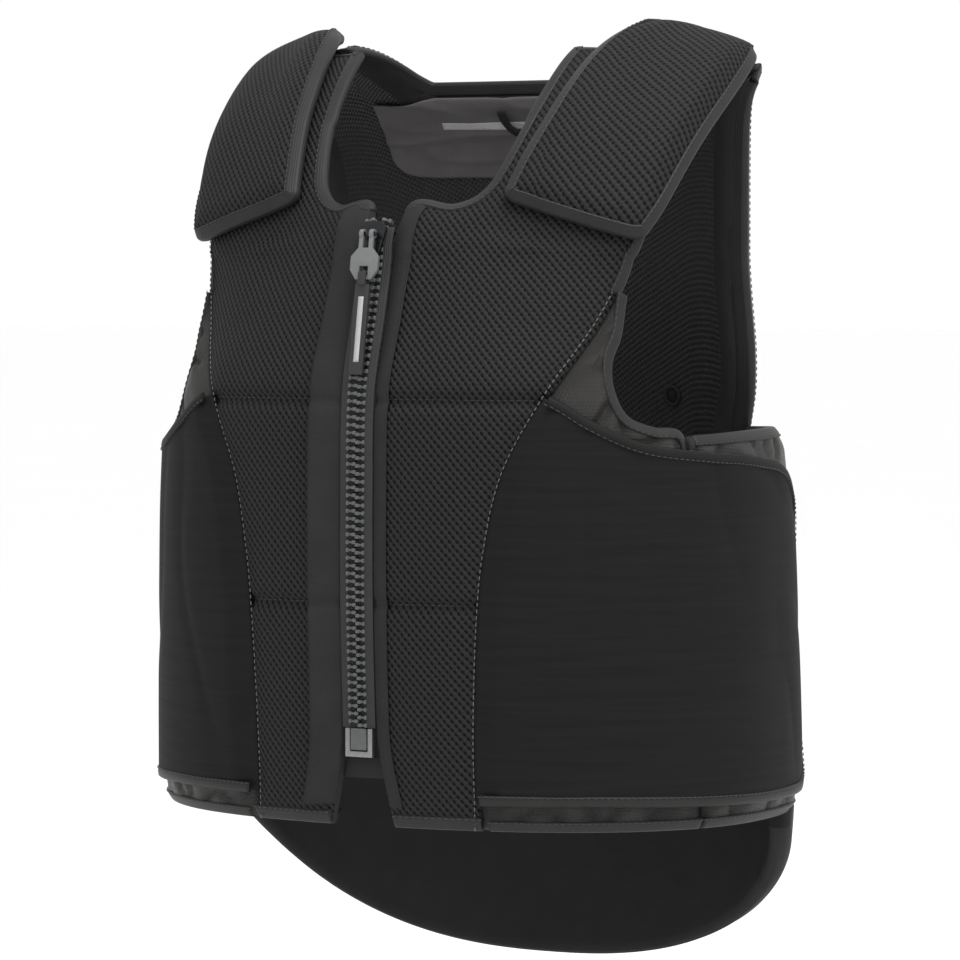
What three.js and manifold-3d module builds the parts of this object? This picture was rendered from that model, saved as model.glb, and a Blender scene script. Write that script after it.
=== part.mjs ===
// Riding body protector: padded front halves with straps, padded back with tail, shoulder
// flaps, stretch side wings and a moulded zip, in the shape it keeps on a wearer.
// Millimetres, +Z up, front towards -Y, wearer's left towards +X, origin between the shoulders.

import * as THREE from "three";
import { mergeVertices } from "three/addons/utils/BufferGeometryUtils.js";
import Module from "manifold-3d";

const wasm = await Module();
wasm.setup();

// Main heights
const HEM = -393;
const ZIP_FOOT = -355;
const QUILT_LOW = -279;
const QUILT_HIGH = -174;
const SHOULDER_START = -100;
const ARCH = 200;
const CREST = SHOULDER_START + ARCH;
const CREST_HEIGHT = 17;

// Padding and cloth
const PAD = 16;
const SEAM_PINCH_OUT = 2.5;
const SEAM_PINCH_IN = 6;
const SEAM_WIDTH = 0.12;
const QUILT_DEPTH = 2.2;
const QUILT_WIDTH = 7;
const FLAP = 10;
const WING = 2.4;
const TAIL = 12;
const GAP = 0.3;
const CLOTH = 1.2;
const BINDING_OUT = 3.6;
const BINDING_LIFT = 0.7;

// Zip
const CHAIN_HALF = 5;
const CHAIN_THICK = 4.4;
const CHAIN_SINK = 1.2;
const TAPE_EDGE = 9.5;
const PANEL_EDGE = 10;
const SLIDER_TOP = -82;
const SLIDER_FOOT = -99;
const SLIDER_HALF = 6.5;
const PIN_DROP = 8;
const PIN_OUT = 5.6;
const PIN_RADIUS = 1;
const FOOT_CLEAR = 12.1;
const PLATE = 1.8;
const PLATE_CLEAR = 1.15;

// Outer surface of the worn vest, one row for each height: half width, depth and squareness of
// the front, forward keel at the zip, depth and squareness of the back
const SECTIONS = [
  { z: -500, width: 176, front: 132, power: 2.3, keel: 0, back: 112, backPower: 2.4 },
  { z: -393, width: 176, front: 133, power: 2.3, keel: 0, back: 115, backPower: 2.4 },
  { z: -340, width: 175, front: 136, power: 2.3, keel: 0, back: 113, backPower: 2.4 },
  { z: -279, width: 173.5, front: 138.5, power: 2.3, keel: 0, back: 108, backPower: 2.4 },
  { z: -220, width: 171, front: 138.5, power: 2.35, keel: 0, back: 104, backPower: 2.4 },
  { z: -169, width: 166, front: 134, power: 2.45, keel: 2.5, back: 101, backPower: 2.4 },
  { z: -130, width: 161, front: 112, power: 2.6, keel: 14, back: 98, backPower: 2.5 },
  { z: -100, width: 157, front: 95, power: 3.0, keel: 24, back: 97, backPower: 2.5 },
  { z: -60, width: 156, front: 90, power: 3.2, keel: 26, back: 96, backPower: 2.5 },
];
const KEEL_REACH = 78;
const FRONT_ARCH_POWER = 1.38;
const BACK_ARCH_POWER = 2.2;

// Reads one column of a table at a place along its rows, with a smooth curve through the rows
function read(rows, key, at, column) {
  const last = rows.length - 1;
  if (at <= rows[0][key]) {
    return rows[0][column];
  }
  if (at >= rows[last][key]) {
    return rows[last][column];
  }
  let i = 0;
  while (rows[i + 1][key] < at) {
    i += 1;
  }
  const span = rows[i + 1][key] - rows[i][key];
  const t = (at - rows[i][key]) / span;
  const slope = (a, b) => (rows[b][column] - rows[a][column]) / (rows[b][key] - rows[a][key]);
  const before = slope(Math.max(0, i - 1), i + 1) * span;
  const after = slope(i, Math.min(last, i + 2)) * span;
  const t2 = t * t;
  const t3 = t2 * t;
  return (2 * t3 - 3 * t2 + 1) * rows[i][column] + (t3 - 2 * t2 + t) * before
    + (3 * t2 - 2 * t3) * rows[i + 1][column] + (t3 - t2) * after;
}

function clamp(value, low = 0, high = 1) {
  return Math.min(high, Math.max(low, value));
}

function crestDepth(x) {
  return -10 + 0.6 * Math.max(0, Math.abs(x) - 60);
}

function crestHeight(x) {
  const out = Math.max(0, Math.abs(x) - 97);
  return CREST_HEIGHT - 0.12 * out - 0.004 * out * out;
}

function section(z) {
  const row = {};
  for (const column of ["width", "front", "power", "keel", "back", "backPower"]) {
    row[column] = read(SECTIONS, "z", z, column);
  }
  return row;
}

function frontDepth(x, z) {
  const s = section(z);
  const t = clamp(Math.abs(x) / s.width);
  const keel = s.keel * Math.pow(clamp(1 - Math.abs(x) / KEEL_REACH), 1.3);
  return -s.front * Math.pow(1 - Math.pow(t, s.power), 1 / s.power) - keel;
}

function backDepth(x, z) {
  const s = section(z);
  const t = clamp(Math.abs(x) / s.width);
  return s.back * Math.pow(1 - Math.pow(t, s.backPower), 1 / s.backPower);
}

// A point of the surface. Along is the height up to SHOULDER_START, and from there the way over
// the shoulder: it reaches CREST on the crest and goes on down the back.
function shell(x, along) {
  const behind = along > CREST;
  const way = behind ? 2 * CREST - along : along;
  const depth = behind ? backDepth : frontDepth;
  if (way <= SHOULDER_START) {
    return new THREE.Vector3(x, depth(x, way), way);
  }
  const power = behind ? BACK_ARCH_POWER : FRONT_ARCH_POWER;
  const turn = ((way - SHOULDER_START) / ARCH) * (Math.PI / 2);
  const c = Math.pow(Math.max(0, Math.cos(turn)), 2 / power);
  const s = Math.pow(Math.max(0, Math.sin(turn)), 2 / power);
  const foot = depth(x, SHOULDER_START);
  const y = crestDepth(x) + (foot - crestDepth(x)) * c;
  return new THREE.Vector3(x, y, SHOULDER_START + (crestHeight(x) - SHOULDER_START) * s);
}

// The same surface below the shoulders by angle: 0 is the front, 90 the side, 180 the back
function ring(degrees, z) {
  const s = section(z);
  const angle = (degrees * Math.PI) / 180;
  const ahead = Math.cos(angle) > 0;
  const power = ahead ? s.power : s.backPower;
  const x = s.width * Math.sign(Math.sin(angle)) * Math.pow(Math.abs(Math.sin(angle)), 2 / power);
  if (!ahead) {
    return new THREE.Vector3(x, s.back * Math.pow(Math.abs(Math.cos(angle)), 2 / power), z);
  }
  const keel = s.keel * Math.pow(clamp(1 - Math.abs(x) / KEEL_REACH), 1.3);
  return new THREE.Vector3(x, -s.front * Math.pow(Math.cos(angle), 2 / power) - keel, z);
}

function ringAngle(x, z, behind = false) {
  const s = section(z);
  const power = behind ? s.backPower : s.power;
  const angle = (Math.asin(Math.pow(clamp(x / s.width), power / 2)) * 180) / Math.PI;
  return behind ? 180 - angle : angle;
}

// The frame at a place of a surface: its point and its normal pointing away from the body
function frameOf(surface, a, b, stepA, stepB) {
  const alongA = surface(a + stepA, b).sub(surface(a - stepA, b));
  const alongB = surface(a, b + stepB).sub(surface(a, b - stepB));
  const point = surface(a, b);
  const normal = alongA.cross(alongB).normalize();
  const middle = new THREE.Vector3(0, point.z > -60 ? 10 : 0, Math.min(point.z, -110));
  if (normal.dot(point.clone().sub(middle)) < 0) {
    normal.negate();
  }
  return { point, normal };
}

function shellFrame(x, along) {
  return frameOf(shell, x, along, 0.5, 0.5);
}

function ringFrame(degrees, z) {
  return frameOf(ring, degrees, z, 0.3, 0.5);
}

// Geometry from points and faces, turned outward
function solidFrom(points, faces) {
  const geometry = new THREE.BufferGeometry();
  geometry.setAttribute("position", new THREE.Float32BufferAttribute(points.flatMap((p) => p.toArray()), 3));
  let volume = 0;
  for (const [a, b, c] of faces) {
    volume += points[a].dot(points[b].clone().cross(points[c]));
  }
  geometry.setIndex(faces.flatMap(([a, b, c]) => (volume > 0 ? [a, b, c] : [a, c, b])));
  return geometry;
}

// A sheet or pad on a surface: place(u, v) gives a frame, skin(u, v) the depths of its outer
// and inner face below the surface
function layer(columns, rows, place, skin) {
  const points = [];
  const faces = [];
  const us = steps(columns);
  const vs = steps(rows);
  for (const side of ["outer", "inner"]) {
    for (const v of vs) {
      for (const u of us) {
        const { point, normal } = place(u, v);
        points.push(point.clone().addScaledVector(normal, -skin(u, v)[side]));
      }
    }
  }
  const wide = us.length;
  const sheet = wide * vs.length;
  for (let j = 0; j < vs.length - 1; j += 1) {
    for (let i = 0; i < wide - 1; i += 1) {
      const a = j * wide + i;
      faces.push([a, a + 1, a + wide], [a + 1, a + wide + 1, a + wide]);
      faces.push([sheet + a, sheet + a + wide, sheet + a + 1]);
      faces.push([sheet + a + 1, sheet + a + wide, sheet + a + wide + 1]);
    }
  }
  for (const [a, b] of border(wide, vs.length)) {
    faces.push([a, sheet + a, b], [b, sheet + a, sheet + b]);
  }
  return solidFrom(points, faces);
}

function steps(count) {
  if (Array.isArray(count)) {
    return count;
  }
  return Array.from({ length: count + 1 }, (_, i) => i / count);
}

// The edges round a grid, in order
function border(wide, high) {
  const loop = [];
  for (let i = 0; i < wide - 1; i += 1) {
    loop.push(i);
  }
  for (let j = 0; j < high - 1; j += 1) {
    loop.push(j * wide + wide - 1);
  }
  for (let i = wide - 1; i > 0; i -= 1) {
    loop.push((high - 1) * wide + i);
  }
  for (let j = high - 1; j > 0; j -= 1) {
    loop.push(j * wide);
  }
  return loop.map((a, k) => [a, loop[(k + 1) % loop.length]]);
}

// How far a place is pinched towards a sewn edge: 0 in the middle, 1 on the edge
function pinch(u, v, widthU = SEAM_WIDTH, widthV = 0.04) {
  const near = (t, width) => Math.pow(clamp(1 - Math.min(t, 1 - t) / width), 2);
  return Math.max(near(u, widthU), near(v, widthV));
}

function padSkin(u, v, thickness = PAD, groove = 0) {
  const p = pinch(u, v);
  return { outer: SEAM_PINCH_OUT * p + groove, inner: thickness - SEAM_PINCH_IN * p };
}

function quiltGroove(z) {
  const near = Math.min(Math.abs(z - QUILT_LOW), Math.abs(z - QUILT_HIGH));
  return QUILT_DEPTH * Math.pow(clamp(1 - near / QUILT_WIDTH), 2);
}

// A folded tape round a pad's edge: frames in order along the edge, each with the outward way
// in the surface, and the depths of the edge's two faces
function binding(frames, outer, inner, closed = false, reach = BINDING_OUT, gap = GAP) {
  const middle = (outer + inner) / 2;
  const profile = [
    [gap, outer - BINDING_LIFT],
    [reach * 0.75, outer - BINDING_LIFT * 0.6],
    [reach, middle],
    [reach * 0.75, inner + BINDING_LIFT * 0.6],
    [gap, inner + BINDING_LIFT],
  ];
  const points = [];
  const faces = [];
  const ringSize = profile.length;
  for (const { point, normal, away, sink = 0 } of frames) {
    for (const [out, down] of profile) {
      points.push(point.clone().addScaledVector(away, out).addScaledVector(normal, -down - sink));
    }
  }
  const spans = closed ? frames.length : frames.length - 1;
  for (let k = 0; k < spans; k += 1) {
    const here = k * ringSize;
    const next = ((k + 1) % frames.length) * ringSize;
    for (let i = 0; i < ringSize; i += 1) {
      const j = (i + 1) % ringSize;
      faces.push([here + i, here + j, next + i], [here + j, next + j, next + i]);
    }
  }
  if (!closed) {
    const end = (frames.length - 1) * ringSize;
    for (let i = 1; i < ringSize - 1; i += 1) {
      faces.push([0, i + 1, i], [end, end + i, end + i + 1]);
    }
  }
  return solidFrom(points, faces);
}

// Frames along a path of a layer's (u, v) places, each with the way out of the layer. A place
// at the level INSIDE is within every layer.
const INSIDE = 0.3;

function edgeFrames(place, path, closed = false) {
  const raw = path.map(([u, v]) => place(u, v));
  const last = raw.length - 1;
  return raw.map(({ point, normal }, k) => {
    const before = raw[closed ? (k + last) % raw.length : Math.max(0, k - 1)].point;
    const after = raw[closed ? (k + 1) % raw.length : Math.min(last, k + 1)].point;
    const away = after.clone().sub(before).normalize().cross(normal).normalize();
    const [u, v] = path[k];
    const inward = place(u + (0.5 - u) * 0.05, v + (INSIDE - v) * 0.05).point.sub(point);
    return { point, normal, away, inward };
  });
}

function edging(place, path, outer, inner, closed = false, reach = BINDING_OUT, gap = GAP) {
  const frames = edgeFrames(place, path, closed);
  const { away, inward } = frames[Math.floor(frames.length / 2)];
  const turn = inward.dot(away) > 0 ? -1 : 1;
  for (const frame of frames) {
    frame.away.multiplyScalar(turn);
  }
  return binding(frames, outer, inner, closed, reach, gap);
}

// Paths along the sides of a layer's own grid, so that a tape follows the same facets
function upSide(u, levels, from = 0, to = 1) {
  return levels.filter((v) => v >= from - 1e-9 && v <= to + 1e-9).map((v) => [u, v]);
}

function acrossSide(v, columns, from = 0, to = 1) {
  return columns.filter((u) => u >= from - 1e-9 && u <= to + 1e-9).map((u) => [u, v]);
}

function roundSide(columns, levels) {
  return acrossSide(0, columns).concat(
    upSide(1, levels).slice(1),
    acrossSide(1, columns).reverse().slice(1),
    upSide(0, levels).reverse().slice(1, -1),
  );
}

function mirrored(place, side) {
  if (side > 0) {
    return place;
  }
  return (u, v) => {
    const { point, normal } = place(u, v);
    point.x = -point.x;
    normal.x = -normal.x;
    return { point, normal };
  };
}

const group = new THREE.Group();

function add(name, geometry, material) {
  const mesh = new THREE.Mesh(geometry, material);
  mesh.name = name;
  group.add(mesh);
}

function finish(color, roughness, metalness = 0) {
  return new THREE.MeshStandardMaterial({ color, roughness, metalness });
}

const airMesh = finish(0x333334, 0.85);
const knit = finish(0x2b2a2b, 0.8);
const satin = finish(0x454143, 0.6);
const nylon = finish(0x4a4a46, 0.5);
const woven = finish(0x3b393a, 0.8);
const smoothLining = finish(0x242424, 0.7);
const zipPlastic = finish(0x5a5c5c, 0.4);
const zipMetal = finish(0xa8aaaa, 0.3, 0.9);
const tabRubber = finish(0x6a6d6c, 0.5);

const SIDES = [
  { name: "left", side: 1, facing: 9 },
  { name: "right", side: -1, facing: 16 },
];

// Front half from the zip to the front seam, with its strap. Each row joins a place of the
// inner edge (slit, zip, neckline, strap) to one of the outer edge (seam, armhole, strap).
const FRONT_ROWS = [
  { t: 0.0, inX: 18.5, inAlong: HEM, outX: 67, outAlong: HEM },
  { t: 0.08, inX: 11, inAlong: ZIP_FOOT, outX: 67, outAlong: -355 },
  { t: 0.14, inX: PANEL_EDGE, inAlong: -322, outX: 68, outAlong: -322 },
  { t: 0.22, inX: PANEL_EDGE, inAlong: QUILT_LOW, outX: 70.5, outAlong: QUILT_LOW },
  { t: 0.27, inX: PANEL_EDGE, inAlong: -250, outX: 73.5, outAlong: -252 },
  { t: 0.34, inX: PANEL_EDGE, inAlong: -212, outX: 82, outAlong: -213 },
  { t: 0.41, inX: PANEL_EDGE, inAlong: QUILT_HIGH, outX: 100.5, outAlong: QUILT_HIGH },
  { t: 0.48, inX: PANEL_EDGE, inAlong: -136, outX: 116, outAlong: -140 },
  { t: 0.55, inX: PANEL_EDGE, inAlong: -104, outX: 125, outAlong: -114 },
  { t: 0.62, inX: 13, inAlong: -76, outX: 129, outAlong: -92 },
  { t: 0.68, inX: 35, inAlong: -72, outX: 131, outAlong: -76 },
  { t: 0.73, inX: 46, inAlong: -62, outX: 132, outAlong: -60 },
  { t: 0.8, inX: 54, inAlong: -36, outX: 132, outAlong: -34 },
  { t: 0.9, inX: 62, inAlong: 18, outX: 130, outAlong: 14 },
  { t: 1.0, inX: 66, inAlong: 72, outX: 126, outAlong: 66 },
];

// The band beside the zip keeps its width all the way up
const BAND = 0.16;

function frontPlace(u, v, band) {
  const inX = read(FRONT_ROWS, "t", v, "inX");
  const inAlong = read(FRONT_ROWS, "t", v, "inAlong");
  const outX = read(FRONT_ROWS, "t", v, "outX");
  const outAlong = read(FRONT_ROWS, "t", v, "outAlong");
  const share = band / (outX - inX);
  const f = u < BAND ? (share * u) / BAND : share + ((1 - share) * (u - BAND)) / (1 - BAND);
  return shellFrame(inX + (outX - inX) * f, inAlong + (outAlong - inAlong) * f);
}

// The strap thins towards the shoulder, where the flap lies on it
function frontThickness(v) {
  return PAD - 5 * clamp((v - 0.7) / 0.3);
}

function frontSkin(u, v) {
  const groove = v < 0.5 ? quiltGroove(read(FRONT_ROWS, "t", v, "inAlong")) : 0;
  return padSkin(u, v, frontThickness(v), groove);
}

const FRONT_COLUMNS = [0, 0.03, 0.08, BAND, 0.4, 0.68, 0.9, 1];
const FRONT_LEVELS = [0, 0.03, 0.08, 0.14, 0.2, 0.22, 0.24, 0.29, 0.34, 0.38, 0.4, 0.42, 0.45, 0.48, 0.51,
  0.54, 0.58, 0.62, 0.65, 0.68, 0.705, 0.73, 0.77, 0.83, 0.9, 0.96, 1];
const NECK_CORNER = 0.62;
const ARM_START = 0.54;
const FACING_START = 0.08;
const FACING_END = 0.58;

function frontPads() {
  for (const { name, side, facing } of SIDES) {
    const place = mirrored((u, v) => frontPlace(u, v, facing), side);
    add(`front_pad_${name}`, layer(FRONT_COLUMNS, FRONT_LEVELS, place, frontSkin), airMesh);
    const strip = FRONT_COLUMNS.filter((u) => u >= 0.03 && u <= BAND);
    const length = FRONT_LEVELS.filter((v) => v >= FACING_START && v <= FACING_END);
    const stripSkin = (u, v) => {
      const face = frontSkin(u, v).outer - GAP;
      return { outer: face - CLOTH, inner: face };
    };
    add(`zip_facing_${name}`, layer(strip, length, place, stripSkin), woven);
    const path = upSide(0, FRONT_LEVELS, NECK_CORNER).concat(
      acrossSide(1, FRONT_COLUMNS).slice(1),
      upSide(1, FRONT_LEVELS, ARM_START + 0.03).reverse().slice(1),
    );
    const thin = PAD - 5 - SEAM_PINCH_IN;
    add(`front_binding_${name}`, edging(place, path, SEAM_PINCH_OUT, thin), satin);
    const hem = acrossSide(0, FRONT_COLUMNS, 0.01);
    add(`front_hem_${name}`, edging(place, hem, SEAM_PINCH_OUT, PAD - SEAM_PINCH_IN), satin);
  }
}

// Side part of the front padding, from the front seam to the side, cut away for the arm
const FRONT_SIDE_END = 66;
const FRONT_SIDE_ROWS = [
  { t: 0.0, angle: FRONT_SIDE_END, z: HEM },
  { t: 0.14, angle: FRONT_SIDE_END, z: -322 },
  { t: 0.27, angle: FRONT_SIDE_END, z: -250 },
  { t: 0.33, angle: FRONT_SIDE_END, z: -212 },
  { t: 0.36, angle: FRONT_SIDE_END - 1, z: -191 },
  { t: 0.39, angle: 57.5, z: -188 },
  { t: 0.42, angle: 51, z: -182 },
  { t: 0.45, angle: 47.5, z: -168 },
  { t: 0.48, angle: 46.2, z: -152 },
  { t: 0.51, angle: 47.5, z: -138 },
  { t: 0.54, angle: 50, z: -124 },
];
const FRONT_SIDE_COLUMNS = [0, 0.12, 0.37, 0.63, 0.88, 1];
const FRONT_SIDE_LEVELS = FRONT_LEVELS.filter((v) => v <= ARM_START);
const SEAM_GAP = 0.6;

function seamX(z) {
  return read(FRONT_ROWS, "outAlong", z, "outX");
}

function frontSidePlace(u, v) {
  const seamZ = read(FRONT_ROWS, "t", v, "outAlong");
  const start = ringAngle(read(FRONT_ROWS, "t", v, "outX") + SEAM_GAP, seamZ);
  const end = read(FRONT_SIDE_ROWS, "t", v, "angle");
  const endZ = read(FRONT_SIDE_ROWS, "t", v, "z");
  return ringFrame(start + (end - start) * u, seamZ + (endZ - seamZ) * u);
}

function frontSideSkin(u, v) {
  return padSkin(u, v / ARM_START);
}

// Side part of the back padding, from the back seam round to the side
const BACK_SIDE_START = FRONT_SIDE_END + 0.9;
const BACK_SIDE_REAR = -190.8;
const BACK_SIDE_TOP = [
  { t: 0.0, z: -193 },
  { t: 0.5, z: -190 },
  { t: 1.0, z: BACK_SIDE_REAR },
];

// Outer edge of the back: side seam, armhole and yoke
const BACK_EDGE = [
  { along: HEM, x: 120 },
  { along: -280, x: 123 },
  { along: -200, x: 128 },
  { along: -172, x: 135 },
  { along: -150, x: 136 },
  { along: -120, x: 132.5 },
  { along: -90, x: 131 },
  { along: -50, x: 133 },
  { along: 0, x: 140 },
  { along: 60, x: 149 },
  { along: CREST, x: 151 },
];
const NECK_HALF = 57;
const SHOULDER_INSIDE = 84;
const NECK_ALONG = 25;

const BACK_LEVELS = [0, 0.03, 0.1, 0.2, 0.3, 0.41, 0.48, 0.55, 0.61, 0.67, 0.73, 0.79, 0.84, 0.89, 0.93,
  0.97, 1];
const BACK_ARM = 0.41;
const BACK_SIDE_LEVELS = BACK_LEVELS.filter((v) => v <= BACK_ARM);
const BACK_SIDE_COLUMNS = [0, 0.06, 0.2, 0.35, 0.5, 0.65, 0.8, 0.94, 1];

function backSidePlace(u, v) {
  const seamZ = HEM + (backTop(1) - HEM) * v;
  const top = read(BACK_SIDE_TOP, "t", u, "z");
  const share = v / BACK_ARM;
  const rear = seamZ - HEM - (BACK_SIDE_REAR - HEM) * share;
  const z = HEM + (top - HEM) * share + rear * u;
  const end = ringAngle(read(BACK_EDGE, "along", seamZ, "x") + SEAM_GAP, seamZ, true);
  return ringFrame(BACK_SIDE_START + (end - BACK_SIDE_START) * u, z);
}

function sidePads() {
  const edge = { outer: SEAM_PINCH_OUT, inner: PAD - SEAM_PINCH_IN };
  for (const { name, side } of SIDES) {
    const front = mirrored(frontSidePlace, side);
    add(`front_side_pad_${name}`, layer(FRONT_SIDE_COLUMNS, FRONT_SIDE_LEVELS, front, frontSideSkin), nylon);
    const arm = upSide(1, FRONT_SIDE_LEVELS, 0.35);
    add(`front_arm_binding_${name}`, edging(front, arm, edge.outer, edge.inner), satin);
    const back = mirrored(backSidePlace, side);
    const backSkin = (u, v) => padSkin(u, v / BACK_ARM);
    add(`back_side_pad_${name}`, layer(BACK_SIDE_COLUMNS, BACK_SIDE_LEVELS, back, backSkin), nylon);
    const top = acrossSide(BACK_ARM, BACK_SIDE_COLUMNS, 0.03, 0.95);
    add(`back_arm_binding_${name}`, edging(back, top, edge.outer, edge.inner), satin);
    const frontHem = acrossSide(0, FRONT_SIDE_COLUMNS, 0.05);
    const backHem = acrossSide(0, BACK_SIDE_COLUMNS, 0, 0.95);
    add(`front_side_hem_${name}`, edging(front, frontHem, edge.outer, edge.inner), satin);
    add(`back_side_hem_${name}`, edging(back, backHem, edge.outer, edge.inner), satin);
  }
}

// Back padding with its yoke up to the shoulder crest
function backTop(u) {
  const x = Math.abs(u) * 151;
  const t = clamp((x - NECK_HALF) / (SHOULDER_INSIDE - NECK_HALF));
  return NECK_ALONG + (CREST - 2 - NECK_ALONG) * t * t * (3 - 2 * t);
}

function backPlace(u, v) {
  const across = 2 * u - 1;
  const way = HEM + (backTop(across) - HEM) * v;
  return shellFrame(across * read(BACK_EDGE, "along", way, "x"), 2 * CREST - way);
}

const BACK_HALF_COLUMNS = [0, 0.04, 0.11, 0.18, 0.215, 0.235, 0.255, 0.275, 0.3, 0.35, 0.42, 0.5];
const BACK_COLUMNS = BACK_HALF_COLUMNS.concat(BACK_HALF_COLUMNS.slice(0, -1).reverse().map((u) => 1 - u));
const BACK_THIN = 5;
const BACK_PINCH = 4;
// The tape on the armhole edge runs from above the side pad to just below the yoke's corner
const EDGE_TAPE_LOW = BACK_ARM + 0.05;
const EDGE_TAPE_TOP = 0.94;

function backSkin(u, v) {
  const p = pinch(u, v, 0.06);
  const thin = BACK_THIN * clamp((v - 0.8) / 0.2);
  return { outer: SEAM_PINCH_OUT * p, inner: PAD - thin - BACK_PINCH * p };
}

function backPad() {
  add("back_pad", layer(BACK_COLUMNS, BACK_LEVELS, backPlace, backSkin), airMesh);
  const neck = acrossSide(1, BACK_COLUMNS, 0.2, 0.8);
  const neckInner = PAD - BACK_THIN - BACK_PINCH;
  add("back_neck_binding", edging(backPlace, neck, SEAM_PINCH_OUT, neckInner), satin);
  for (const { name, side } of SIDES) {
    const arm = upSide(side > 0 ? 1 : 0, BACK_LEVELS, EDGE_TAPE_LOW, EDGE_TAPE_TOP);
    add(`back_edge_binding_${name}`, edging(backPlace, arm, SEAM_PINCH_OUT, neckInner + 1), satin);
  }
}

// Tail of the back, below the hem, leaning in towards the seat
const TAIL_SPREAD = 80;
const TAIL_DROP = 90;
const TAIL_LEAN = 24;

function tailPlace(u, v) {
  const across = 2 * u - 1;
  const t = Math.abs(across);
  const reach = Math.sin((t * TAIL_SPREAD * Math.PI) / 180) / Math.sin((TAIL_SPREAD * Math.PI) / 180);
  const drop = 3 + (TAIL_DROP - 3) * Math.pow(clamp(1 - reach * reach), 0.6);
  const frame = ringFrame(180 - across * TAIL_SPREAD, HEM - 1);
  const down = drop * (1 - v);
  frame.point.z = HEM - 4.6 - down;
  frame.point.y -= TAIL_LEAN * Math.pow(down / TAIL_DROP, 1.3);
  return frame;
}

function tail() {
  const columns = [0, 0.03, 0.08, 0.15, 0.23, 0.32, 0.41, 0.5];
  const across = columns.concat(columns.slice(0, -1).reverse().map((u) => 1 - u));
  const skin = (u, v) => {
    const p = Math.max(pinch(u, 0.5, 0.05), Math.pow(clamp(1 - v / 0.2), 2));
    return { outer: 2 + 2 * p, inner: 2 + TAIL - 2 * p };
  };
  add("tail_pad", layer(across, 7, tailPlace, skin), smoothLining);
}

// Shoulder flap over the front strap, from below the collar bone over the crest to the yoke
const FLAP_ROWS = [
  { t: 0.0, inX: 60, inAlong: -62, outX: 130, outAlong: -86 },
  { t: 0.15, inX: 64, inAlong: -38, outX: 136, outAlong: -58 },
  { t: 0.35, inX: 71, inAlong: -2, outX: 141, outAlong: -14 },
  { t: 0.55, inX: 78, inAlong: 38, outX: 145, outAlong: 30 },
  { t: 0.75, inX: 86, inAlong: 76, outX: 145, outAlong: 68 },
  { t: 0.9, inX: 93, inAlong: 102, outX: 142, outAlong: 96 },
  { t: 1.0, inX: 98, inAlong: 116, outX: 136, outAlong: 112 },
];

function flapPlace(u, v) {
  const inX = read(FLAP_ROWS, "t", v, "inX");
  const inAlong = read(FLAP_ROWS, "t", v, "inAlong");
  const outX = read(FLAP_ROWS, "t", v, "outX");
  const outAlong = read(FLAP_ROWS, "t", v, "outAlong");
  return shellFrame(inX + (outX - inX) * u, inAlong + (outAlong - inAlong) * u);
}

const FLAP_COLUMNS = [0, 0.06, 0.2, 0.5, 0.8, 0.94, 1];
const FLAP_LEVELS = [0, 0.04, 0.14, 0.26, 0.38, 0.5, 0.61, 0.71, 0.8, 0.89, 0.96, 1];
const FLAP_LIFT = 1.2;
const FLAP_PINCH = 3.5;

function flapSkin(u, v) {
  return { outer: -FLAP_LIFT - FLAP + FLAP_PINCH * pinch(u, v, 0.14, 0.08), inner: -FLAP_LIFT };
}

function flaps() {
  for (const { name, side } of SIDES) {
    const place = mirrored(flapPlace, side);
    add(`shoulder_flap_${name}`, layer(FLAP_COLUMNS, FLAP_LEVELS, place, flapSkin), airMesh);
    const loop = roundSide(FLAP_COLUMNS, FLAP_LEVELS);
    const outer = -FLAP_LIFT - FLAP + FLAP_PINCH;
    const lower = -FLAP_LIFT - BINDING_LIFT;
    add(`flap_binding_${name}`, edging(place, loop, outer, lower, true, BINDING_OUT, 0.9), satin);
  }
}

// Stretch wing over the side padding, from the front seam round to the back
const WING_END = 118;
const WING_EDGES = [
  { angle: 18, top: -172, bottom: -379 },
  { angle: 32, top: -172, bottom: -379 },
  { angle: 42, top: -185, bottom: -379 },
  { angle: 50, top: -194, bottom: -379.5 },
  { angle: 57, top: -198.5, bottom: -380 },
  { angle: 70, top: -202, bottom: -381 },
  { angle: 84, top: -205, bottom: -382 },
  { angle: 96, top: -211, bottom: -382 },
  { angle: 104, top: -221, bottom: -381 },
  { angle: 112, top: -236, bottom: -374 },
  { angle: WING_END, top: -262, bottom: -356 },
];

function wingPlace(u, v) {
  const level = -379 + 207 * v;
  const start = ringAngle(seamX(level) + 1.6, level);
  const angle = start + (WING_END - start) * u;
  const top = read(WING_EDGES, "angle", angle, "top");
  const bottom = read(WING_EDGES, "angle", angle, "bottom");
  return ringFrame(angle, bottom + (top - bottom) * v);
}

const WING_COLUMNS = [0, 0.05, 0.1, 0.16, 0.22, 0.28, 0.34, 0.4, 0.46, 0.52, 0.58, 0.64, 0.7, 0.76, 0.82,
  0.87, 0.91, 0.95, 1];
const WING_LEVELS = [0, 0.1, 0.36, 0.64, 0.9, 1];
const WING_GAP = 0.6;

function wings() {
  for (const { name, side } of SIDES) {
    const place = mirrored(wingPlace, side);
    const skin = () => ({ outer: -WING_GAP - WING, inner: -WING_GAP });
    add(`side_wing_${name}`, layer(WING_COLUMNS, WING_LEVELS, place, skin), knit);
    const loop = acrossSide(1, WING_COLUMNS, 0.01).concat(
      upSide(1, WING_LEVELS).reverse().slice(1),
      acrossSide(0, WING_COLUMNS, 0.01).reverse().slice(1),
    );
    const lower = -WING_GAP - BINDING_LIFT;
    add(`wing_binding_${name}`, edging(place, loop, -WING_GAP - WING, lower, false, 3), satin);
  }
}

// Woven facing inside the back of the neck, and its hanging loop
const FACING_LOW = 0.79;

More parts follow.
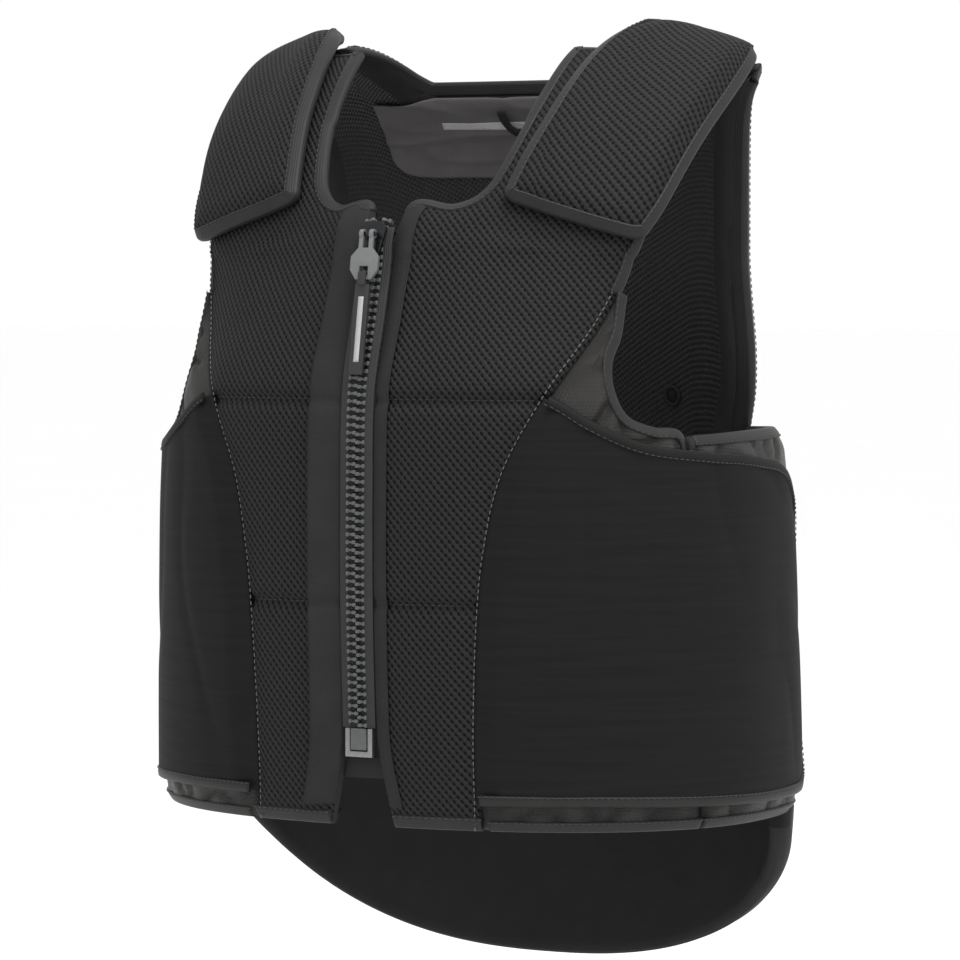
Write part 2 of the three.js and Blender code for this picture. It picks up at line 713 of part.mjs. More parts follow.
function neckFacing() {
  const columns = BACK_COLUMNS.filter((u) => u > 0.25 && u < 0.75);
  const levels = BACK_LEVELS.filter((v) => v >= FACING_LOW && v < 1);
  const skin = (u, v) => {
    const face = backSkin(u, v).inner + 2 * GAP;
    return { outer: face, inner: face + CLOTH };
  };
  add("neck_facing", layer(columns, levels, backPlace, skin), woven);
  const path = Array.from({ length: 13 }, (_, i) => {
    const t = i / 12;
    return [0.5 + 0.05 * (2 * t - 1), 0.955 - 0.05 * Math.sin(Math.PI * t)];
  });
  const frames = edgeFrames(backPlace, path).map((frame, k) => {
    const sink = backSkin(...path[k]).inner + 3 * GAP + CLOTH;
    return { ...frame, sink };
  });
  add("hang_loop", binding(frames, BINDING_LIFT, BINDING_LIFT + 0.4), woven);
}

// Joins and cuts of closed shapes
function toManifold(geometry) {
  const plain = geometry.clone();
  plain.deleteAttribute("normal");
  plain.deleteAttribute("uv");
  const merged = mergeVertices(plain, 1e-4);
  return new wasm.Manifold(new wasm.Mesh({
    numProp: 3,
    vertProperties: new Float32Array(merged.attributes.position.array),
    triVerts: new Uint32Array(merged.index.array),
  }));
}

function fromManifold(solid) {
  const mesh = solid.getMesh();
  const geometry = new THREE.BufferGeometry();
  geometry.setAttribute("position", new THREE.BufferAttribute(new Float32Array(mesh.vertProperties), 3));
  geometry.setIndex(new THREE.BufferAttribute(new Uint32Array(mesh.triVerts), 1));
  return geometry;
}

function fuse(...geometries) {
  return fromManifold(geometries.map(toManifold).reduce((whole, part) => whole.add(part)));
}

function box(x, y, z, centre) {
  return new THREE.BoxGeometry(x, y, z).translate(...centre);
}

// A flat plate drawn in X and Z, with its middle at the depth y
function plate(outline, thickness, y, holes = []) {
  const shape = new THREE.Shape(outline.map(([x, z]) => new THREE.Vector2(x, z)));
  for (const hole of holes) {
    shape.holes.push(new THREE.Path(hole.map(([x, z]) => new THREE.Vector2(x, z))));
  }
  const geometry = new THREE.ExtrudeGeometry(shape, { depth: thickness, bevelEnabled: false });
  return geometry.rotateX(Math.PI / 2).translate(0, y + thickness / 2, 0);
}

function circle(radius, sides, y = 0, z = 0) {
  return Array.from({ length: sides }, (_, i) => {
    const angle = (2 * Math.PI * (i + 0.5)) / sides;
    return [y + radius * Math.cos(angle), z + radius * Math.sin(angle)];
  });
}

// Zip line: the middle of the front, and how far the two rows of teeth are apart
function zipFace(z) {
  return shell(0, z > SHOULDER_START ? SHOULDER_START + (z - SHOULDER_START) * 1.75 : z).y;
}

function zipSpread(z) {
  return 3.4 * Math.pow(clamp((z - (SLIDER_FOOT + 6)) / 16), 1.2);
}

const NECK_EDGE = -77;
const PULL_FOOT = -165;
const PULL_CLEAR = 1.2;

function zipRows() {
  const heights = [];
  for (let z = ZIP_FOOT + FOOT_CLEAR; z < SLIDER_FOOT - 3; z += 12) {
    heights.push(z);
  }
  heights.push(SLIDER_FOOT, SLIDER_FOOT + 6, SLIDER_FOOT + 10, SLIDER_FOOT + 14, NECK_EDGE - 3);
  for (const { name, side } of SIDES) {
    const sweep = (inner, outer, front, back) => {
      const points = [];
      const faces = [];
      for (const z of heights) {
        const y = zipFace(z);
        const spread = zipSpread(z);
        for (const [x, down] of [[inner, front], [outer, front], [outer, back], [inner, back]]) {
          points.push(new THREE.Vector3(side * (Math.min(x + spread, PANEL_EDGE - GAP)), y + down, z));
        }
      }
      for (let k = 0; k < heights.length - 1; k += 1) {
        for (let i = 0; i < 4; i += 1) {
          const j = (i + 1) % 4;
          const a = k * 4;
          faces.push([a + i, a + j, a + 4 + i], [a + j, a + 4 + j, a + 4 + i]);
        }
      }
      const end = points.length - 4;
      faces.push([0, 2, 1], [0, 3, 2], [end, end + 1, end + 2], [end, end + 2, end + 3]);
      return solidFrom(points, faces);
    };
    const middle = CHAIN_SINK + CHAIN_THICK / 2;
    add(`zip_teeth_${name}`, sweep(0.15, CHAIN_HALF, CHAIN_SINK, CHAIN_SINK + CHAIN_THICK), zipPlastic);
    add(`zip_tape_${name}`, sweep(CHAIN_HALF + GAP, TAPE_EDGE, middle - 0.6, middle + 0.6), woven);
  }
}

// End box and its clip at the foot of the zip, and the webbing tab behind the slit
function zipFoot() {
  const y = zipFace(ZIP_FOOT) + CHAIN_SINK + CHAIN_THICK / 2;
  add("zip_end_box", box(9.4, CHAIN_THICK, 11.3, [0, y, ZIP_FOOT + 6.15]), zipPlastic);
  const clip = [[-8, 0], [8, 0], [8, 15], [5.2, 15], [5.2, 3], [-5.2, 3], [-5.2, 15], [-8, 15]];
  const foot = ZIP_FOOT - 3.2;
  add("zip_end_clip", plate(clip.map(([x, z]) => [x, z + foot]), 2.8, y - 0.4), zipMetal);
  const [high, low] = [-358.5, -369.5];
  const [wide, wider] = [high, low].map((z) => read(FRONT_ROWS, "inAlong", z, "inX") - 2 * GAP);
  const strip = [[-wider, low], [wider, low], [wide, high], [-wide, high]];
  add("slit_tab", plate(strip, CLOTH, zipFace(high) + 9), woven);
}

// Slider: front and back plates joined by a post between the rows, with a lug and a pin
function slider() {
  const z = (SLIDER_TOP + SLIDER_FOOT) / 2;
  const face = zipFace(z);
  const lean = Math.atan2(zipFace(SLIDER_TOP) - zipFace(SLIDER_FOOT), SLIDER_TOP - SLIDER_FOOT);
  const tall = SLIDER_TOP - SLIDER_FOOT;
  const half = tall / 2;
  const outline = [
    [-5.6, -half], [5.6, -half], [SLIDER_HALF, -half + 5], [SLIDER_HALF + 1.5, half - 3],
    [4.5, half], [-4.5, half], [-SLIDER_HALF - 1.5, half - 3], [-SLIDER_HALF, -half + 5],
  ];
  const front = CHAIN_SINK - PLATE_CLEAR - PLATE / 2;
  const back = CHAIN_SINK + CHAIN_THICK + PLATE_CLEAR + PLATE / 2;
  const pinY = -PIN_OUT;
  const pinZ = half - PIN_DROP;
  const pin = new THREE.CylinderGeometry(PIN_RADIUS, PIN_RADIUS, 11, 10).rotateZ(Math.PI / 2);
  const whole = fuse(
    plate(outline, PLATE, front),
    plate(outline, PLATE, back),
    box(1.6, back - front, 4, [0, (front + back) / 2, half - 2.2]),
    box(2.2, PIN_OUT, 3.2, [0, front - PIN_OUT / 2 + 0.6, pinZ]),
    pin.translate(0, pinY, pinZ),
  );
  whole.rotateX(-lean).translate(0, face, z);
  add("zip_slider", whole, zipMetal);
  return new THREE.Vector3(0, pinY, pinZ).applyAxisAngle(new THREE.Vector3(1, 0, 0), -lean)
    .add(new THREE.Vector3(0, face, z));
}

// Puller: two eyes on the pin, arms, a wide plate with a window, and the tab looped through it
function puller(axis) {
  const reach = axis.y + PULL_CLEAR - zipFace(PULL_FOOT) - CHAIN_SINK;
  const lean = Math.atan2(reach, axis.z - PULL_FOOT);
  const eye = circle(2.5, 12);
  const bore = circle(PIN_RADIUS + 0.3, 12);
  const parts = [];
  for (const side of [-1, 1]) {
    const shape = new THREE.Shape(eye.map(([a, b]) => new THREE.Vector2(a, b)));
    shape.holes.push(new THREE.Path(bore.map(([a, b]) => new THREE.Vector2(a, b))));
    const ringGeometry = new THREE.ExtrudeGeometry(shape, { depth: 2.2, bevelEnabled: false });
    ringGeometry.rotateY(-Math.PI / 2).rotateX(Math.PI / 2).translate(side * 2.9 + 1.1, 0, 0);
    parts.push(ringGeometry, box(2.2, 1.8, 8, [side * 2.9, -0.9, -6]));
  }
  const wide = [[-4, -7.5], [4, -7.5], [8, -12], [8, -19], [4.5, -24], [-4.5, -24], [-8, -19], [-8, -12]];
  const window2 = [[-2.6, -22], [2.6, -22], [2.6, -17], [-2.6, -17]];
  parts.push(plate(wide, 2, -0.9, [window2]));
  const frame = fuse(...parts);
  const rest = (geometry) => geometry.rotateX(-lean).translate(axis.x, axis.y, axis.z);
  add("zip_pull", rest(frame), zipMetal);
  const bar = { y: -0.9, z: -23 };
  const atBar = (outline) => outline.map(([y, z]) => new THREE.Vector2(y + bar.y, z + bar.z));
  const loopOuter = atBar([[-2.6, -4], [2.6, -4], [2.6, 2.9], [-2.6, 2.9]]);
  const loopInner = atBar([[-1.3, -1.4], [1.3, -1.4], [1.3, 1.3], [-1.3, 1.3]]);
  const shape = new THREE.Shape(loopOuter);
  shape.holes.push(new THREE.Path(loopInner));
  const loop = new THREE.ExtrudeGeometry(shape, { depth: 4.4, bevelEnabled: false });
  loop.applyMatrix4(new THREE.Matrix4().set(0, 0, 1, -2.2, 1, 0, 0, 0, 0, 1, 0, 0, 0, 0, 0, 1));
  const tab = box(8, 2, 47, [0, bar.y, bar.z - 3.5 - 23.5]);
  add("pull_tab", rest(fuse(loop, tab)), tabRubber);
}

frontPads();
sidePads();
backPad();
tail();
flaps();
wings();
neckFacing();
zipRows();
zipFoot();
puller(slider());

export default group;
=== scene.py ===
import math

import bmesh
import bpy
import numpy as np
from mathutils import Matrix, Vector, noise


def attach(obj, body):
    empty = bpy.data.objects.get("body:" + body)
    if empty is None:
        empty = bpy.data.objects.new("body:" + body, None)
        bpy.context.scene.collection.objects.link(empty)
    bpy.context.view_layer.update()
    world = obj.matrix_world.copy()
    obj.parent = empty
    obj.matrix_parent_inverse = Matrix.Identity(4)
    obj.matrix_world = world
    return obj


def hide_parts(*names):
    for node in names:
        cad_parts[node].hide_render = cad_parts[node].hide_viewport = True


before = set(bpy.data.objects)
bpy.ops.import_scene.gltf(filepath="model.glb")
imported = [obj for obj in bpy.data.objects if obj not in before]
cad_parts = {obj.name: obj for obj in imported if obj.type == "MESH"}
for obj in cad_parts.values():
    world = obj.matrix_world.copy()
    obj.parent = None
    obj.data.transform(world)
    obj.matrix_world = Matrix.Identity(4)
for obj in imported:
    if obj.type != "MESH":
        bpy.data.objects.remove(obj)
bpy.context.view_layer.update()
scene = bpy.context.scene


# Camera: at the wearer's left front, a little above the middle of the vest, with a long lens so
# that the near and far shoulder look alike.
VIEW_AZIMUTH = math.radians(28)
VIEW_HEIGHT = math.radians(2.4)
VIEW_DISTANCE = 2.5
VIEW_CENTRE = Vector((0, 0, -0.220))

lens = bpy.data.cameras.new("studio camera")
lens.lens = 173.6
lens.sensor_width = 36
camera = bpy.data.objects.new("studio camera", lens)
towards = Vector((math.sin(VIEW_AZIMUTH) * math.cos(VIEW_HEIGHT),
                  -math.cos(VIEW_AZIMUTH) * math.cos(VIEW_HEIGHT), math.sin(VIEW_HEIGHT)))
camera.location = VIEW_CENTRE + towards * VIEW_DISTANCE
camera.rotation_euler = (-towards).to_track_quat("-Z", "Y").to_euler()
scene.collection.objects.link(camera)
scene.camera = camera


# Studio: a wide pale floor below the tail, white walls all round as one even world, and large
# soft boxes, the strongest at the camera's right.
def linear(hex_colour):
    """A colour written as sRGB hex, in the linear values that shaders use."""
    channels = [int(hex_colour[i:i + 2], 16) / 255 for i in (1, 3, 5)]
    return [c / 12.92 if c <= 0.04045 else ((c + 0.055) / 1.055) ** 2.4 for c in channels] + [1.0]


def node(tree, kind, inputs=None, **settings):
    """Adds a node with its settings, and its inputs as values or as links from other sockets."""
    made = tree.nodes.new(kind)
    for key, value in settings.items():
        setattr(made, key, value)
    for key, value in (inputs or {}).items():
        if isinstance(value, bpy.types.NodeSocket):
            tree.links.new(value, made.inputs[key])
        else:
            made.inputs[key].default_value = value
    return made


def finish(name, shader):
    """A new material whose shader starts from these constants."""
    material = bpy.data.materials.new(name)
    material.use_nodes = True
    surface = material.node_tree.nodes["Principled BSDF"]
    for key, value in shader.items():
        surface.inputs[key].default_value = value
    return material, material.node_tree, surface


def softbox(name, azimuth, height, distance, size, watts):
    light = bpy.data.lights.new(name, "AREA")
    light.shape = "RECTANGLE"
    light.size, light.size_y = size
    light.energy = watts
    box = bpy.data.objects.new(name, light)
    a, h = math.radians(azimuth), math.radians(height)
    way = Vector((math.sin(a) * math.cos(h), -math.cos(a) * math.cos(h), math.sin(h)))
    box.location = VIEW_CENTRE + way * distance
    box.rotation_euler = (-way).to_track_quat("-Z", "Y").to_euler()
    scene.collection.objects.link(box)


scene.view_settings.view_transform = "Standard"
world = bpy.data.worlds.new("white studio")
world.use_nodes = True
world.node_tree.nodes["Background"].inputs["Color"].default_value = linear("#ffffff")
world.node_tree.nodes["Background"].inputs["Strength"].default_value = 1.0
scene.world = world
softbox("key softbox", 62, 62, 1.35, (0.8, 0.8), 15)
softbox("side softbox", 75, 12, 2.2, (0.9, 1.4), 1)
softbox("inner softbox", 8, 58, 1.5, (0.5, 0.5), 2.5)


def mottled(name, low, high, scale, shader, detail=2.0, relief=0.0):
    """A finish with a slight unevenness between two tones, on the piece's own coordinates. Relief
    is the depth in metres of the same unevenness."""
    material, tree, surface = finish(name, shader)
    place = node(tree, "ShaderNodeTexCoord")
    skin = node(tree, "ShaderNodeTexNoise", {"Vector": place.outputs["Object"], "Scale": scale,
                                             "Detail": detail})
    tone = node(tree, "ShaderNodeMix", {"Factor": skin.outputs["Fac"], 6: linear(low),
                                        7: linear(high)}, data_type="RGBA")
    tree.links.new(tone.outputs[2], surface.inputs["Base Color"])
    if relief:
        bump = node(tree, "ShaderNodeBump", {"Height": skin.outputs["Fac"], "Strength": 0.4,
                                             "Distance": relief})
        tree.links.new(bump.outputs["Normal"], surface.inputs["Normal"])
    return material


# Painted studio floor: matt, with a faint unevenness of its paint.
floor_paint = mottled("matt floor paint", "#fdfdfd", "#ffffff", 3.0, {"Roughness": 0.9})
FLOOR_REACH = 40
FLOOR_LEVEL = -0.56
floor_mesh = bpy.data.meshes.new("floor")
floor_mesh.from_pydata([(x * FLOOR_REACH, y * FLOOR_REACH, FLOOR_LEVEL)
                        for x, y in ((-1, -1), (1, -1), (1, 1), (-1, 1))], [], [(0, 1, 2, 3)])
floor_mesh.materials.append(floor_paint)
floor = bpy.data.objects.new("floor", floor_mesh)
scene.collection.objects.link(floor)


# Front pads: a foam panel each side of the zip, covered in polyester air mesh and lined with
# fine mesh, quilted through in two places, and run up into a strap over the shoulder. The cover
# is a closed bag that air pressure fills, held where it is sewn.
MM = 0.001
HEM = -393.0
QUILTS = (-279.0, -174.0)
SHOULDER_START = -100.0
ARCH = 200.0
CREST = SHOULDER_START + ARCH
CREST_HEIGHT = 17.0
KEEL_REACH = 78.0
FRONT_ARCH_POWER = 1.38
BACK_ARCH_POWER = 2.2
# height, half width, depth and squareness of the front, keel at the zip, depth and squareness
# of the back, in millimetres
SECTIONS = np.array([
    (-500, 176, 132, 2.3, 0, 112, 2.4), (-393, 176, 133, 2.3, 0, 115, 2.4),
    (-340, 175, 136, 2.3, 0, 113, 2.4), (-279, 173.5, 138.5, 2.3, 0, 108, 2.4),
    (-220, 171, 138.5, 2.35, 0, 104, 2.4), (-169, 166, 134, 2.45, 2.5, 101, 2.4),
    (-130, 161, 112, 2.6, 14, 98, 2.5), (-100, 157, 95, 3.0, 24, 97, 2.5),
    (-60, 156, 90, 3.2, 26, 96, 2.5)])


def read(rows, at, column):
    """One column of a table at places along its first column, on a smooth curve."""
    keys, values = rows[:, 0], rows[:, column]
    at = np.clip(np.asarray(at, float), keys[0], keys[-1])
    last = len(keys) - 1
    i = np.clip(np.searchsorted(keys, at, side="right") - 1, 0, last - 1)
    low, high = np.maximum(i - 1, 0), np.minimum(i + 2, last)
    span = keys[i + 1] - keys[i]
    t = (at - keys[i]) / span
    before = (values[i + 1] - values[low]) / (keys[i + 1] - keys[low]) * span
    after = (values[high] - values[i]) / (keys[high] - keys[i]) * span
    return ((2 * t**3 - 3 * t**2 + 1) * values[i] + (t**3 - 2 * t**2 + t) * before
            + (3 * t**2 - 2 * t**3) * values[i + 1] + (t**3 - t**2) * after)


def ease(value, low, high):
    """0 below low, 1 above high, and a smooth way between."""
    t = np.clip((value - low) / (high - low), 0, 1)
    return t * t * (3 - 2 * t)


def section(z):
    return [read(SECTIONS, z, column) for column in range(1, 7)]


def keel_of(x, keel):
    return keel * np.clip(1 - np.abs(x) / KEEL_REACH, 0, 1) ** 1.3


def depth_at(x, z, behind):
    width, front, power, keel, back, back_power = section(z)
    t = np.clip(np.abs(x) / width, 0, 1)
    ahead = -front * (1 - t**power) ** (1 / power) - keel_of(x, keel)
    return np.where(behind, back * (1 - t**back_power) ** (1 / back_power), ahead)


def shell(x, along):
    """The outer face of the worn vest by x and the way up the front, over the shoulder crest
    at CREST, and down the back."""
    behind = along > CREST
    way = np.where(behind, 2 * CREST - along, along)
    power = np.where(behind, BACK_ARCH_POWER, FRONT_ARCH_POWER)
    turn = np.clip((way - SHOULDER_START) / ARCH, 0, 1) * math.pi / 2
    c = np.maximum(np.cos(turn), 0) ** (2 / power)
    s = np.sin(turn) ** (2 / power)
    out = np.maximum(np.abs(x) - 97, 0)
    crest_height = CREST_HEIGHT - 0.12 * out - 0.004 * out**2
    crest_depth = np.minimum(-10 + 0.6 * np.maximum(np.abs(x) - 60, 0),
                             depth_at(x, SHOULDER_START + 0 * x, True) - 2)
    foot = depth_at(x, np.minimum(way, SHOULDER_START), behind)
    y = np.where(way <= SHOULDER_START, foot, crest_depth + (foot - crest_depth) * c)
    z = np.where(way <= SHOULDER_START, way,
                 SHOULDER_START + (crest_height - SHOULDER_START) * s)
    return np.stack([x + 0 * way, y, z], -1)


def frames(surface, a, b, step=0.4):
    """Points of the form and the directions that point away from the wearer."""
    point = surface(a, b)
    normal = np.cross(surface(a + step, b) - surface(a - step, b),
                      surface(a, b + step) - surface(a, b - step))
    normal /= np.linalg.norm(normal, axis=-1, keepdims=True)
    z = point[..., 2]
    middle = np.stack([0 * z, np.where(z > -60, 10, 0), np.minimum(z, -110)], -1)
    outward = np.sign(((point - middle) * normal).sum(-1, keepdims=True))
    return point, normal * outward


def cloth_map(surface, a, b, a_zero, b_zero):
    """How far along the cloth every place of the form is from its zero lines, both ways."""
    grid = surface(*np.meshgrid(a, b))
    across = np.zeros(grid.shape[:2])
    upward = np.zeros(grid.shape[:2])
    across[:, 1:] = np.cumsum(np.linalg.norm(np.diff(grid, axis=1), axis=-1), axis=1)
    upward[1:] = np.cumsum(np.linalg.norm(np.diff(grid, axis=0), axis=-1), axis=0)
    across -= across[:, [int(np.argmin(np.abs(a - a_zero)))]]
    upward -= upward[[int(np.argmin(np.abs(b - b_zero)))]]

    def at(x, y):
        i = np.clip((x - a[0]) / (a[1] - a[0]), 0, len(a) - 1.001)
        j = np.clip((y - b[0]) / (b[1] - b[0]), 0, len(b) - 1.001)
        i0, j0 = i.astype(int), j.astype(int)
        fi, fj = i - i0, j - j0
        return np.stack([
            (f[j0, i0] * (1 - fi) + f[j0, i0 + 1] * fi) * (1 - fj)
            + (f[j0 + 1, i0] * (1 - fi) + f[j0 + 1, i0 + 1] * fi) * fj
            for f in (across, upward)], -1)
    return at


shell_cloth = cloth_map(shell, np.arange(-175, 176, 2.0), np.arange(-520, 721, 4.0), 0, -280)

# t, x and way along of the inner edge, x and way along of the outer edge
FRONT_ROWS = np.array([
    (0.0, 18.5, HEM, 67, HEM), (0.08, 11, -355, 67, -355), (0.14, 10, -322, 68, -322),
    (0.22, 10, -279, 70.5, -279), (0.27, 10, -250, 73.5, -252), (0.34, 10, -212, 82, -213),
    (0.41, 10, -174, 100.5, -174), (0.48, 10, -136, 116, -140), (0.55, 10, -104, 125, -114),
    (0.62, 13, -51, 129, -92), (0.68, 35, -51, 131, -76), (0.73, 47, -44, 132, -60),
    (0.8, 54, -28, 132, -34), (0.9, 62, 18, 130, 14), (1.0, 66, 72, 126, 66)])


def front_spot(u, v):
    in_x, in_along, out_x, out_along = (read(FRONT_ROWS, v, column) for column in range(1, 5))
    return in_x + (out_x - in_x) * u, in_along + (out_along - in_along) * u


front_cut = {"surface": shell, "cloth": shell_cloth, "spot": front_spot}


def trace(cut, u, v):
    """A line along a cut piece by its (u, v) places: points, normals, the way forwards and the
    way out of the piece."""
    u, v = np.broadcast_arrays(np.asarray(u, float), np.asarray(v, float))
    point, normal = frames(cut["surface"], *cut["spot"](u, v))
    forward = np.gradient(point, axis=0)
    forward /= np.linalg.norm(forward, axis=-1, keepdims=True)
    away = np.cross(forward, normal)
    away /= np.linalg.norm(away, axis=-1, keepdims=True)
    inside = cut["surface"](*cut["spot"](u + (0.5 - u) * 0.06, v + (0.5 - v) * 0.06)) - point
    return {"point": point, "normal": normal, "away": away * -np.sign((inside * away).sum())}


def side(cut, which, start=0.0, end=1.0, count=120):
    """One side of a cut piece's outline as a line."""
    t = np.linspace(start, end, count)
    fixed = {"inner": (0, t), "outer": (1, t), "low": (t, 0), "high": (t, 1)}[which]
    return trace(cut, *fixed)


def distance(points, line):
    """How far each point is from a line through these places."""
    flat = points.reshape(-1, 3)
    best = np.full(len(flat), np.inf)
    for a, b in zip(line[:-1], line[1:]):
        way = b - a
        t = np.clip((flat - a) @ way / max(way @ way, 1e-9), 0, 1)
        best = np.minimum(best, ((flat - a - t[:, None] * way) ** 2).sum(1))
    return np.sqrt(best).reshape(points.shape[:-1])


PINCH_REACH = 13.0
RIM = (0.25, 0.475)


def pinch(d):
    """How far a pad is drawn in at this distance from a sewn edge, from 1 at the edge to 0."""
    return np.clip(1 - d / PINCH_REACH, 0, 1) ** 2


def new_piece(name, points, faces, cloth, materials, kinds=None):
    """A mesh object in metres from points in millimetres, with its cloth coordinates."""
    points = np.asarray(points, float).reshape(-1, 3)
    faces = [tuple(int(i) for i in face) for face in faces]
    volume = sum(float(points[f[0]] @ np.cross(points[f[i]], points[f[i + 1]]))
                 for f in faces for i in range(1, len(f) - 1))
    if volume < 0:
        faces = [face[::-1] for face in faces]
    data = bpy.data.meshes.new(name)
    data.from_pydata((points * MM).tolist(), [], faces)
    layer = data.uv_layers.new(name="cloth")
    corners = np.zeros(len(data.loops), np.int32)
    data.loops.foreach_get("vertex_index", corners)
    layer.data.foreach_set("uv", (np.asarray(cloth).reshape(-1, 2) * MM)[corners].ravel())
    for material in materials:
        data.materials.append(material)
    if kinds is not None:
        data.polygons.foreach_set("material_index", np.asarray(kinds, np.int32))
    data.polygons.foreach_set("use_smooth", np.ones(len(faces), bool))
    data.update()
    made = bpy.data.objects.new(name, data)
    scene.collection.objects.link(made)
    return made


def rim_of(rows, wide):
    """The grid places round the border, in order."""
    loop = [(0, i) for i in range(wide - 1)] + [(j, wide - 1) for j in range(rows - 1)]
    loop += [(rows - 1, i) for i in range(wide - 1, 0, -1)] + [(j, 0) for j in range(rows - 1, 0, -1)]
    return loop


def bag(outer, inner, bulge=0.0):
    """Points and faces of two layers joined round their border, with a rounded middle row."""
    rows, wide = outer.shape[:2]
    sheet = rows * wide
    j, i = np.meshgrid(np.arange(rows - 1), np.arange(wide - 1), indexing="ij")
    a = (j * wide + i).ravel()
    quads = np.stack([a, a + 1, a + wide + 1, a + wide], 1)
    faces = quads.tolist() + (quads[:, ::-1] + sheet).tolist()
    loop = rim_of(rows, wide)
    middle = []
    for j, i in loop:
        inside = outer[min(max(j, 1), rows - 2), min(max(i, 1), wide - 2)]
        way = outer[j, i] - inside
        middle.append((outer[j, i] + inner[j, i]) / 2 + way / np.linalg.norm(way) * bulge)
    count = len(loop)
    for k in range(count):
        here, there = loop[k][0] * wide + loop[k][1], loop[(k + 1) % count]
        there = there[0] * wide + there[1]
        m, n = 2 * sheet + k, 2 * sheet + (k + 1) % count
        faces += [[here, m, n, there], [m, here + sheet, there + sheet, n]]
    return np.concatenate([outer.reshape(-1, 3), inner.reshape(-1, 3), middle]), faces, loop


def filled(outer, inner, held, cap):
    """How the bag's two layers move when air fills it for twenty frames: cloth under pressure,
    held at its seams. No point moves further than cap."""
    rows, wide = outer.shape[:2]
    points, faces, loop = bag(outer, inner)
    piece = new_piece("cover under pressure", points, faces, np.zeros((len(points), 2)), [])
    sewn = np.concatenate([held.ravel(), held.ravel(), np.ones(len(loop), bool)])
    group = piece.vertex_groups.new(name="sewn")
    group.add(np.flatnonzero(sewn).tolist(), 1.0, "REPLACE")
    cloth = piece.modifiers.new("cover", "CLOTH")
    cloth.settings.use_pressure = True
    cloth.settings.uniform_pressure_force = 4.0
    cloth.settings.effector_weights.gravity = 0
    cloth.settings.vertex_group_mass = "sewn"
    cloth.settings.quality = 4
    cloth.collision_settings.use_collision = False
    for frame_number in range(1, 21):
        scene.frame_set(frame_number)
    shape = piece.evaluated_get(bpy.context.evaluated_depsgraph_get()).data
    after = np.zeros(len(points) * 3)
    shape.vertices.foreach_get("co", after)
    scene.frame_set(1)
    moved = (after.reshape(-1, 3) / MM - points)[:2 * rows * wide]
    bpy.data.objects.remove(piece)
    length = np.linalg.norm(moved, axis=1, keepdims=True)
    moved *= cap * np.tanh(length / cap) / np.maximum(length, 1e-6)
    return moved.reshape(2, rows, wide, 3)


def resample(field, rows, wide):
    """A smooth cubic through a coarse grid's values, at more rows and columns."""
    for axis, count in ((0, rows), (1, wide)):
        last = field.shape[axis] - 1
        at = np.linspace(0, last, count)
        i = np.minimum(at.astype(int), last - 1)
        t = (at - i).reshape([-1 if k == axis else 1 for k in range(field.ndim)])
        p0, p1, p2, p3 = (np.take(field, np.clip(i + k, 0, last), axis) for k in (-1, 0, 1, 2))
        field = p1 + 0.5 * t * (p2 - p0 + t * (2 * p0 - 5 * p1 + 4 * p2 - p3
                                               + t * (3 * (p1 - p2) + p3 - p0)))
    return field


def pad(cut, rows, wide, thickness, quilts=(), cap=4.0, swell=(1.0, 0.35), room=None, crease=None,
        base=0.0, rim=RIM):
    """The two faces of a padded piece, as grids of points. Rim is how far its edge is drawn in
    from both faces, as shares of its thickness, and room is where the outer face may swell."""
    border = [side(cut, which, count=160)["point"] for which in ("inner", "outer", "low", "high")]
    lines = [trace(cut, np.linspace(0, 1, 60), level)["point"] for level in quilts]

    def faces_of(nrows, nwide):
        u, v = np.meshgrid(np.linspace(0, 1, nwide), np.linspace(0, 1, nrows))
        point, normal = frames(cut["surface"], *cut["spot"](u, v))
        edge = np.min([distance(point, line) for line in border], axis=0)
        quilt = np.min([distance(point, line) for line in lines], axis=0) if lines else edge + 99
        thick = thickness(u, v) if callable(thickness) else thickness
        groove = 3.2 * np.exp(-(quilt / 3.0) ** 2)
        outer = point - normal * (base + rim[0] * thick * pinch(edge) + groove)[..., None]
        inner = point - normal * (base + thick - rim[1] * thick * pinch(edge)
                                  - 0.4 * groove)[..., None]
        return u, v, point, normal, edge, quilt, outer, inner

    few, narrow = max(rows // 3, 8), max(wide // 3, 7)
    u, v, point, normal, edge, quilt, outer, inner = faces_of(few, narrow)
    held = (edge < 7) | (quilt < 3.5)
    moved = filled(outer, inner, held, cap)
    u, v, point, normal, edge, quilt, outer, inner = faces_of(rows, wide)
    moved = np.stack([resample(layer, rows, wide) for layer in moved])
    free = np.ones(u.shape) if room is None else room(point, u, v)
    outer = outer + moved[0] * (swell[0] * free)[..., None]
    inner = inner + moved[1] * swell[1]
    if crease is not None:
        outer = outer - normal * crease(point, u, v, edge)[..., None]
    return {"outer": outer, "inner": inner, "edge": edge,
            "cloth": cut["cloth"](*cut["spot"](u, v))}


def flip(points):
    return points * np.array([-1.0, 1.0, 1.0])


SIDES = (("left", 1), ("right", -1))


def sewn_pad(name, made, materials, turn, bulge=1.2, band=0.0):
    """The padded piece as one closed mesh: outer cover, lining and, within band of the edge
    inside, a smooth facing."""
    outer, inner = made["outer"], made["inner"]
    if turn < 0:
        outer, inner = flip(outer), flip(inner)
    points, faces, loop = bag(outer, inner, bulge)
    rows, wide = outer.shape[:2]
    cells = (rows - 1) * (wide - 1)
    kinds = np.zeros(len(faces), int)
    edge = made["edge"]
    near = (edge[:-1, :-1] + edge[1:, 1:]) / 2 < band
    kinds[cells:2 * cells] = np.where(near.ravel(), 2, 1)
    kinds[2 * cells:] = 2
    cloth = made["cloth"]
    ringed = np.array([cloth[j, i] for j, i in loop])
    both = np.concatenate([cloth.reshape(-1, 2), cloth.reshape(-1, 2), ringed])
    return new_piece(name, points, faces, both * np.array([turn, 1]), materials, kinds)


